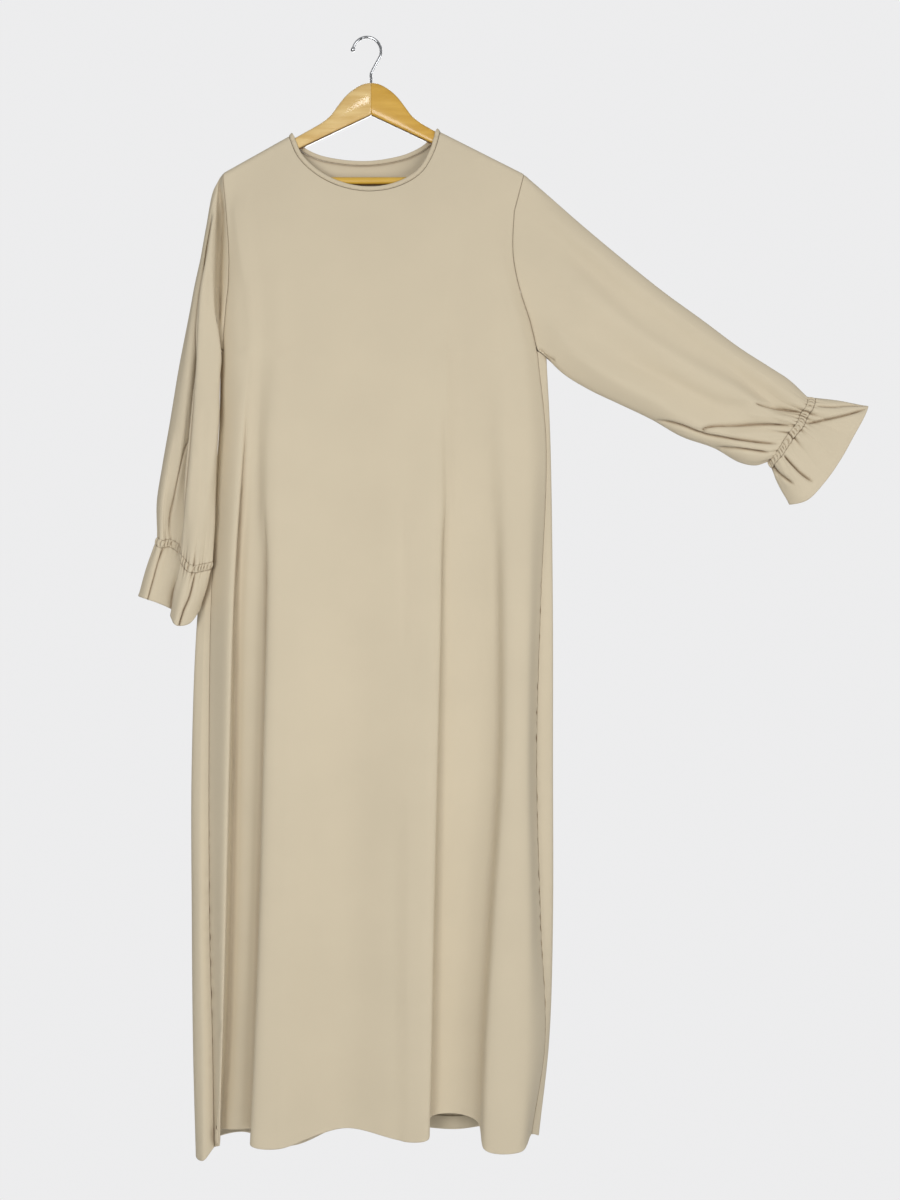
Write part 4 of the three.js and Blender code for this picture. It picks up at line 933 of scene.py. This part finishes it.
def gathers(share, distance, seed, strength=1.0):
    """Small folds that run away from a gathered line: many short ones and a few long ones."""
    turn = 2 * math.pi * share
    moved = 0
    for count, height, reach in ((33, 1.5, 8), (17, 1.7, 22), (8, 1.9, 62)):
        wander = 1.3 * np.sin(3 * turn + seed) + 0.8 * np.sin(5 * turn + 2.3 * seed + count)
        mood = 0.65 + 0.35 * np.sin(2 * turn * (1 + count % 3) + seed * count)
        fold = 2 * np.abs(np.cos((count * turn + wander + seed * count) / 2)) ** 0.6 - 1.25
        moved = moved + strength * height * mood * fold * np.exp(-distance / reach)
    return moved


def outward_from(grid):
    """Directions out of a tube of cloth, away from its middle."""
    out = outward(grid, closed=True)
    away = grid - grid.mean(axis=1, keepdims=True)
    return out * (1 if (out * away).sum() > 0 else -1), (out * away).sum() < 0


def tube_cloth(grid, out, flipped, ends):
    """A tube of cloth from a closed grid, its ends turned in by the given amounts."""
    run = run_along(np.concatenate([grid, grid[:, :1]], axis=1), 1)[:, :-1]
    down = run_along(grid, 0)
    cloth = Cloth()
    numbers = cloth.grid(grid, out, np.stack([run, down], axis=-1) / 1000)
    cloth.faces += rows_of_faces(numbers, closed=True, flip=not flipped)
    for row, amounts, flip in ((numbers[0], ends[0], not flipped), (numbers[-1], ends[1], flipped)):
        if amounts:
            cloth.faces += rows_of_faces(cloth.turn_in(row, amounts, closed=True), closed=True, flip=flip)
    return cloth


def sewn_sleeve(is_left, loops, gather, under_knot, per_knot, lines, seed):
    """A sleeve's tube of cloth from its armhole to its gathered line."""
    u = np.arange(len(gather) * per_knot) / per_knot
    lower_rings = [spline(knots, u) for knots in [loop_knots(*loop) for loop in loops] + [placed(gather)]]
    line, under = armhole(is_left)
    ring_share = shares_round(lower_rings[0], under_knot * per_knot)[:-1]
    first = picked(closed_up(line), shares_round(line, under), ring_share)
    knots = np.stack([first, *lower_rings], axis=1)
    steps = []
    for j in range(knots.shape[1] - 1):
        size = np.linalg.norm(knots[:, j + 1] - knots[:, j], axis=1).max()
        count = max(2, int(size / (1.7 if j < 2 else 3.6)))
        steps.append(j + np.arange(count) / count)
    steps = np.concatenate(steps + [[knots.shape[1] - 1]])
    grid = spline(knots, steps, closed=False).swapaxes(0, 1)
    out, flipped = outward_from(grid)
    from_seam = run_along(grid, 0)
    share = shares_round(grid[-1], under_knot * per_knot)[:-1][None]
    around = ring_share[None]
    ease = (0.25 * np.sin(around * 2 * math.pi * EASE_PUCKERS + 2 * np.sin(around * 31))
            * np.exp(-(from_seam / 7) ** 2))
    moved = gathers(share, from_seam[-1:] - from_seam, seed) + creases(grid, out, lines) + ease
    moved = moved * smooth(from_seam / 6)
    return tube_cloth(grid + out * moved[..., None], out, flipped, ((1.2, 3, 5), (0.8, 2.0)))


def below_gather(gather, hem, per_knot):
    """The gathered line and the frill's hem, point for point."""
    u = np.arange(len(gather) * per_knot) / per_knot
    return spline(placed(gather), u), spline(placed(hem), u)


def gathered_channel(gather, hem, under_knot, per_knot, seed):
    """The elasticated channel: a double band, drawn up into small crescents between two stitch lines."""
    top, low = below_gather(gather, hem, per_knot)
    way = unit(low - top)
    steps = np.linspace(0.12, GATHER_WIDTH + 0.18, CHANNEL_ROWS)
    grid = top[None] + way[None] * steps[:, None, None]
    out, flipped = outward_from(grid)
    share = shares_round(grid[0], under_knot * per_knot)[:-1][None]
    turn = 2 * math.pi * share
    across = (steps / GATHER_WIDTH)[:, None]
    bow = np.sin(math.pi * across)
    wander = 2.2 * np.sin(4 * turn + seed) + 1.4 * np.sin(9 * turn + 2 * seed)
    crescent = 2 * np.abs(np.cos((CHANNEL_CRESCENTS * turn + wander + 1.9 * bow) / 2)) ** 0.6 - 1.25
    pinch = np.exp(-((across - 0.13) / 0.06) ** 2) + np.exp(-((across - 0.87) / 0.06) ** 2)
    moved = gathers(share, 0 * across, seed) * (1 - 0.6 * bow) + (1.7 * crescent + 0.7) * bow - 0.2 * pinch
    return tube_cloth(grid + out * moved[..., None], out, flipped, ((1.5, 3.0), (1.5, 3.0)))


def flared_frill(gather, hem, under_knot, per_knot, lines, seed, strength):
    """The frill: it flares from the channel to a narrow hem that is rolled up inside and stitched."""
    top, low = below_gather(gather, hem, per_knot)
    start = top + unit(low - top) * (GATHER_WIDTH + SEAM_GAP)
    steps = np.linspace(0, 1, FRILL_ROWS)[:, None, None]
    bulge = np.sin(math.pi * np.clip(steps * 1.15, 0, 1)) * 1.5
    grid = blend(start[None], low[None], steps)
    out, flipped = outward_from(grid)
    grid = grid + out * bulge
    share = shares_round(grid[0], under_knot * per_knot)[:-1][None]
    from_gather = run_along(grid, 0)
    moved = gathers(share, from_gather, seed, strength) + creases(grid, out, lines)
    edge = from_gather[-1:] - from_gather
    moved = moved - 0.35 * np.exp(-((edge - FRILL_HEM) / 0.7) ** 2)
    grid = grid + out * moved[..., None]
    cloth = tube_cloth(grid, out, flipped, ((1.5, 3.0), None))
    back = [min(np.searchsorted(from_gather[:, 0], from_gather[-1, 0] - drop), len(grid) - 1)
            for drop in (0.6, 1.6, 3.2, 4.8)]
    rolled = np.stack([grid[k] - out[k] * away for k, away in zip(back, (0.9, 1.3, 1.4, 1.1))])
    first = np.arange(len(grid) * len(top)).reshape(len(grid), -1)[-1:]
    inner = cloth.grid(rolled, np.repeat(out[-1:], len(back), axis=0), np.zeros((len(back), len(top), 2)))
    cloth.faces += rows_of_faces(np.concatenate([first, inner]), closed=True, flip=not flipped)
    return cloth, grid, out, from_gather


def hang_sleeve(word, is_left, loops, gather, hem, under_knot, per_knot, lines, frill_lines, seed, strength,
                flats):
    """Hangs a sleeve, its channel and its frill. flats gives (flat size, area, how it is held) for each,
    which is not used. Returns the frill's points, its directions out and its lengths from the channel."""
    body = ["front_panel", "back_panel"]
    sleeve = sewn_sleeve(is_left, loops, gather, under_knot, per_knot, lines, seed)
    channel = gathered_channel(gather, hem, under_knot, per_knot, seed)
    frill, *followed = flared_frill(gather, hem, under_knot, per_knot, frill_lines, seed, strength)
    for cloth, part, node, rests_on, sheet in (
            (sleeve, "_sleeve", "sleeve_", body, flats[0]),
            (channel, "_channel", "gather_", [word + "_sleeve"], flats[1]),
            (frill, "_frill", "frill_", [word + "_channel"], flats[2])):
        hang(cloth, word + part, node + word, gathered_crepe, *sheet, rests_on)
    return followed


# Creases of the hanging sleeve and its frill, as on the panels.
HANGING_CREASES = [
    ([(-219, 240), (-224, 281), (-234, 358), (-241, 457), (-246, 546), (-253, 633), (-258, 682),
      (-262, 735)], 1.6, -3.6, True),
    ([(-208, 215), (-208.5, 255), (-209.5, 297), (-210.5, 340), (-210.5, 375),
      (-210, 420)], 2.2, -9.0, True),
    ([(-249, 566), (-259, 589), (-268, 625), (-274, 655), (-280, 685), (-281, 725)], 1.6, -3.2, True),
    ([(-231, 310), (-240, 381), (-248, 440), (-257, 520), (-266, 600), (-276, 700)], 7, 5.0, True),
    ([(-243, 590), (-247, 640), (-250, 700)], 5, 1.0, True),
    ([(-226, 520), (-228, 600), (-230, 700)], 6, -1.2, True),
    ([(-272, 560), (-285, 620), (-292, 680)], 6, 1.2, True),
    ([(-232, 420), (-243, 520), (-250, 620), (-258, 700)], 7, -1.5, False),
    ([(-222, 480), (-226, 580), (-228, 690)], 6, 1.2, False),
]
HANGING_FRILL_CREASES = [
    ([(-280, 715), (-294, 746), (-301, 771), (-309, 799), (-313, 815)], 2.0, -5.5, True),
    ([(-262, 730), (-269, 764), (-277, 791), (-282, 830)], 2.2, -7.0, True),
    ([(-238, 750), (-248, 798), (-257, 819), (-266, 850)], 2.2, -6.0, True),
    ([(-268, 742), (-288, 776), (-296, 804)], 5, 1.0, True),
    ([(-250, 760), (-262, 790), (-268, 812)], 4, -1.8, False),
]
hanging_frill = hang_sleeve(
    "hanging", True, HANGING_LOOPS, HANGING_GATHER, HANGING_FRILL_HEM, 7, 22, HANGING_CREASES,
    HANGING_FRILL_CREASES, 0.7, 1.0,
    [((0.21, 0.53), 0.10, "hung"), ((0.34, 0.014), 0.0046, "gathered"), ((0.28, 0.078), 0.020, "gathered")])


# ---------------------------------------------------------------------------------------------
# The other sleeve: cut the same, but drawn out to the side as if by its frill. It lies nearly
# flat along its top and is slack below, where folds run together into the gathered channel.
# ---------------------------------------------------------------------------------------------
HELD_LOOPS = [
    ((258, 226), (282, 480), [(0, 6), (.1, 14), (.25, 12), (.45, 17), (.66, 15), (.88, 17), (1, 2),
                              (.85, -14), (.5, -16), (.15, -8)]),
    ((303, 265), (318, 502), [(0, 4), (.1, 15), (.25, 13), (.45, 22), (.66, 18), (.88, 21), (1, 2),
                              (.85, -15), (.5, -18), (.15, -10)]),
    ((363, 315), (360, 522), [(0, 3), (.1, 15), (.25, 14), (.45, 24), (.66, 18), (.88, 22), (1, 2),
                              (.85, -15), (.5, -18), (.15, -11)]),
    ((422, 362), (404, 543), [(0, 2), (.1, 15), (.25, 14), (.45, 25), (.66, 17), (.88, 22), (1, 2),
                              (.85, -15), (.5, -19), (.15, -11)]),
    ((481, 405), (450, 569), [(0, 2), (.1, 15), (.25, 15), (.45, 26), (.66, 17), (.88, 22), (1, 2),
                              (.85, -15), (.5, -19), (.15, -11)]),
    ((532, 443), (495, 585), [(0, 2), (.1, 15), (.25, 15), (.42, 25), (.66, 16), (.88, 22), (1, 2),
                              (.85, -14), (.5, -18), (.15, -11)]),
    ((574, 470), (533, 606), [(0, 2), (.12, 16), (.3, 13), (.42, 22), (.62, 15), (.86, 22), (1, 2),
                              (.85, -14), (.5, -17), (.15, -11)]),
    ((603, 489), (556, 610), [(0, 1), (.14, 16), (.33, 11), (.44, 19), (.6, 14), (.84, 18), (1, 1),
                              (.85, -13), (.5, -16), (.15, -10)]),
]
HELD_GATHER = [(629, 514, 0), (626, 524, 12), (617, 539, 10), (611, 551, 15), (600, 565, 13), (585, 588, 15),
               (573.5, 604, 0), (582, 591, -11), (599, 566, -13), (621, 530, -9)]
HELD_FRILL_HEM = [(716, 526, 1), (710, 539, 9), (692, 571, 13), (673, 603, 19), (650, 636, 17),
                  (625, 661, 18), (603, 666, 4), (624, 655, -10), (661, 612, -14), (702, 548, -9)]
HELD_CREASES = [
    ([(261, 268), (321, 336), (400, 416), (480, 464), (559, 504), (611, 531)], 13, -2.4, True),
    ([(340, 448), (440, 496), (499, 524), (559, 531)], 9, -2.6, True),
    ([(249, 393), (300, 448), (360, 496), (439, 528)], 11, 1.8, True),
    ([(244, 444), (256, 455), (270, 463)], 2.0, -3.5, True),
    ([(548, 524), (586, 530), (625, 537)], 1.7, -8.0, True),
    ([(474, 567), (480, 560), (492, 556), (534, 554), (577, 554), (615, 557)], 1.8, -8.5, True),
    ([(405, 545), (445, 555), (483, 569), (539, 576), (592, 582)], 1.8, -9.0, True),
    ([(495, 586), (533, 589), (575, 594)], 1.7, -7.5, True),
    ([(540, 540), (580, 543), (612, 546)], 4, 1.6, True),
    ([(500, 572), (545, 566), (592, 568)], 4, 1.6, True),
    ([(300, 320), (400, 400), (500, 470), (600, 520)], 14, -2.4, False),
    ([(360, 470), (460, 520), (560, 550), (604, 556)], 8, -2.6, False),
    ([(440, 540), (520, 572), (582, 586)], 5, -2.4, False),
]
HELD_FRILL_CREASES = [
    ([(622, 552), (645, 548), (680, 540), (718, 527)], 1.8, -7.0, True),
    ([(632, 526), (660, 528), (690, 525), (720, 524)], 1.8, -3.6, True),
    ([(612, 562), (640, 580), (668, 600)], 6.0, 1.8, True),
    ([(590, 594), (602, 608), (616, 622), (637, 637)], 1.8, -7.5, True),
    ([(570, 602), (578, 612), (590, 625), (610, 641)], 1.8, -7.0, True),
    ([(620, 560), (650, 575), (680, 580)], 5.0, -1.8, False),
    ([(600, 590), (622, 615), (640, 635)], 4.0, -2.2, False),
]
held_frill = hang_sleeve(
    "held", False, HELD_LOOPS, HELD_GATHER, HELD_FRILL_HEM, 6, 26, HELD_CREASES,
    HELD_FRILL_CREASES, 2.1, 1.15,
    [((0.40, 0.50), 0.168, "stretched"), ((0.38, 0.014), 0.0052, "gathered"),
     ((0.36, 0.083), 0.0265, "stretched")])


# ---------------------------------------------------------------------------------------------
# The topstitching: single rows of lockstitch in matching thread, along the body's hem, both
# edges of the neck binding and the frills' rolled hems. The stitches sink a little in the crepe.
# ---------------------------------------------------------------------------------------------
STITCH_SEGMENTS = 6
STITCH_RINGS = 4
FINE_PITCH = 0.0026

thread = shader("sewing_thread", (0.50, 0.42, 0.285), 0.7, Sheen_Weight=0.2, Sheen_Roughness=0.4)[0]


def stitch_tree():
    """Stitches along a line: every pitch a short rounded length of thread that follows the line."""
    tree = bpy.data.node_groups.new("row_of_stitches", "GeometryNodeTree")
    tree.interface.new_socket("Geometry", in_out="INPUT", socket_type="NodeSocketGeometry")
    inputs = {}
    for label, value in (("Pitch", 0.003), ("Stitch length", 0.0023), ("Thread thickness", 0.00042)):
        socket = tree.interface.new_socket(label, in_out="INPUT", socket_type="NodeSocketFloat")
        socket.default_value = value
        inputs[label] = socket.identifier
    tree.interface.new_socket("Geometry", in_out="OUTPUT", socket_type="NodeSocketGeometry")
    given, result, line, spaced, tangent, turned, ball, size, put, real, dyed = (
        tree.nodes.new(kind) for kind in (
            "NodeGroupInput", "NodeGroupOutput", "GeometryNodeMeshToCurve", "GeometryNodeResampleCurve",
            "GeometryNodeInputTangent", "FunctionNodeAlignRotationToVector", "GeometryNodeMeshUVSphere",
            "ShaderNodeCombineXYZ", "GeometryNodeInstanceOnPoints", "GeometryNodeRealizeInstances",
            "GeometryNodeSetMaterial"))
    spaced.mode = "LENGTH"
    turned.axis = "Z"
    set_inputs(ball, {"Segments": STITCH_SEGMENTS, "Rings": STITCH_RINGS, "Radius": 0.5})
    set_inputs(dyed, {"Material": thread})
    join(tree.links, (given, "Geometry", line, "Mesh"), (line, "Curve", spaced, "Curve"),
         (given, "Pitch", spaced, "Length"), (tangent, "Tangent", turned, "Vector"),
         (given, "Thread thickness", size, "X"), (given, "Thread thickness", size, "Y"),
         (given, "Stitch length", size, "Z"), (spaced, "Curve", put, "Points"),
         (ball, "Mesh", put, "Instance"), (turned, "Rotation", put, "Rotation"),
         (size, "Vector", put, "Scale"), (put, "Instances", real, "Geometry"),
         (real, "Geometry", dyed, "Geometry"), (dyed, "Geometry", result, "Geometry"))
    return tree, inputs


stitches, stitch_inputs = stitch_tree()


def stitched(name, line, closed=False, pitch=0.003):
    """A row of stitches along a line of points in millimetres."""
    line = np.asarray(line)
    count = len(line)
    steps = [(k, k + 1) for k in range(count - 1)] + ([(count - 1, 0)] if closed else [])
    guide = bpy.data.meshes.new(name + "_guide")
    guide.from_pydata([tuple(p) for p in line / 1000], steps, [])
    holder = in_scene(name + "_guide", guide)
    row = holder.modifiers.new("stitches", "NODES")
    row.node_group = stitches
    row[stitch_inputs["Pitch"]] = pitch
    made = bpy.data.meshes.new_from_object(holder.evaluated_get(bpy.context.evaluated_depsgraph_get()))
    holder.modifiers.remove(row)
    bpy.data.objects.remove(holder)
    made.name = name
    made.polygons.foreach_set("use_smooth", [True] * len(made.polygons))
    piece = in_scene(name, made)
    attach(piece, "root")


for hem_name, hem_edges in (("front", front_edges), ("back", back_edges)):
    line, out, _ = hem_edges["hem_stitching"]
    stitched(hem_name + "_hem_stitches", (line + out * 0.1)[2:-2])
for place, side in (("lower", 0.85), ("inner", -0.85)):
    stitched("binding_" + place + "_stitches", neck_line + neck_way * 1.7 + neck_out * side,
             closed=True, pitch=FINE_PITCH)
for frill_name, (grid, out, run) in (("hanging", hanging_frill), ("held", held_frill)):
    k = int(np.searchsorted(run[:, 0], run[-1, 0] - FRILL_HEM))
    stitched(frill_name + "_frill_stitches", grid[k] + out[k] * 0.05,
             closed=True, pitch=FINE_PITCH)


# ---------------------------------------------------------------------------------------------
# The floor, the soft studio light and the camera. The floor lies well below the hem, as it does
# under a garment that hangs. It isn't part of the garment.
# ---------------------------------------------------------------------------------------------
FLOOR_DROP = 2.2
FLOOR_RADIUS = 1.35
FLOOR_SEGMENTS = 96
BACKGROUND = 0.845
AMBIENT = 0.27
HALF_VIEW = 0.3575

disc = bpy.data.meshes.new("floor")
rim = [(FLOOR_RADIUS * math.cos(a), FLOOR_RADIUS * math.sin(a), -FLOOR_DROP)
       for a in round_angles(FLOOR_SEGMENTS)]
disc.from_pydata(rim, [], [list(range(FLOOR_SEGMENTS))])
disc.materials.append(shader("pale_floor", (0.82, 0.82, 0.82), 0.9)[0])
in_scene("floor", disc)


def soft_light(name, place, aim, size, watts):
    """A soft square light at a place in metres, turned to face the aim."""
    data = bpy.data.lights.new(name, "AREA")
    data.shape, data.size, data.energy = "SQUARE", size, watts
    lamp = in_scene(name, data)
    lamp.location = place
    lamp.rotation_euler = (Vector(aim) - Vector(place)).to_track_quat("-Z", "Y").to_euler()


soft_light("key", (-0.65, -2.1, -0.5), (0.03, 0, -0.65), 0.9, 22.5)
soft_light("fill", (1.7, -1.85, -0.6), (0.2, 0, -0.7), 1.6, 24)
soft_light("low", (0.5, -2.25, -1.4), (0, 0, -0.6), 0.5, 3.6)
soft_light("glint", (0.09, -2.2, 0.55), (0, 0, -0.1), 0.1, 0.35)
soft_light("behind", (0.3, 2.6, 0.1), (0.05, 0, -0.75), 1.8, 46)

world = bpy.data.worlds.new("studio")
bpy.context.scene.world = world
world.use_nodes = True
nodes, links = world.node_tree.nodes, world.node_tree.links
sky = set_inputs(nodes["Background"], {"Color": (0.98, 0.99, 1.0, 1)})
# The light from around is dimmer from below than from above.
heading = nodes.new("ShaderNodeTexCoord")
split = nodes.new("ShaderNodeSeparateXYZ")
dimmed = new_node(nodes, "ShaderNodeMapRange", From_Min=-0.7, From_Max=0.7,
                  To_Min=0.3 * AMBIENT, To_Max=1.4 * AMBIENT)
backdrop = new_node(nodes, "ShaderNodeBackground", Color=(1.0, 1.0, 1.008, 1), Strength=BACKGROUND)
seen = nodes.new("ShaderNodeLightPath")
either = nodes.new("ShaderNodeMixShader")
join(links, (heading, "Generated", split, "Vector"), (split, "Z", dimmed, "Value"),
     (dimmed, "Result", sky, "Strength"), (seen, "Is Camera Ray", either, "Fac"),
     (sky, "Background", either, 1), (backdrop, "Background", either, 2),
     (either, "Shader", nodes["World Output"], "Surface"))
bpy.context.scene.view_settings.view_transform = "Standard"

view = bpy.data.cameras.new("camera")
view.sensor_fit = "VERTICAL"
view.sensor_height = 24
view.lens = view.sensor_height / 2 / HALF_VIEW
camera = in_scene("camera", view)
camera.location = (0.1187, -2.4, -0.8028)
camera.rotation_euler = (math.pi / 2, 0, 0)
bpy.context.scene.camera = camera
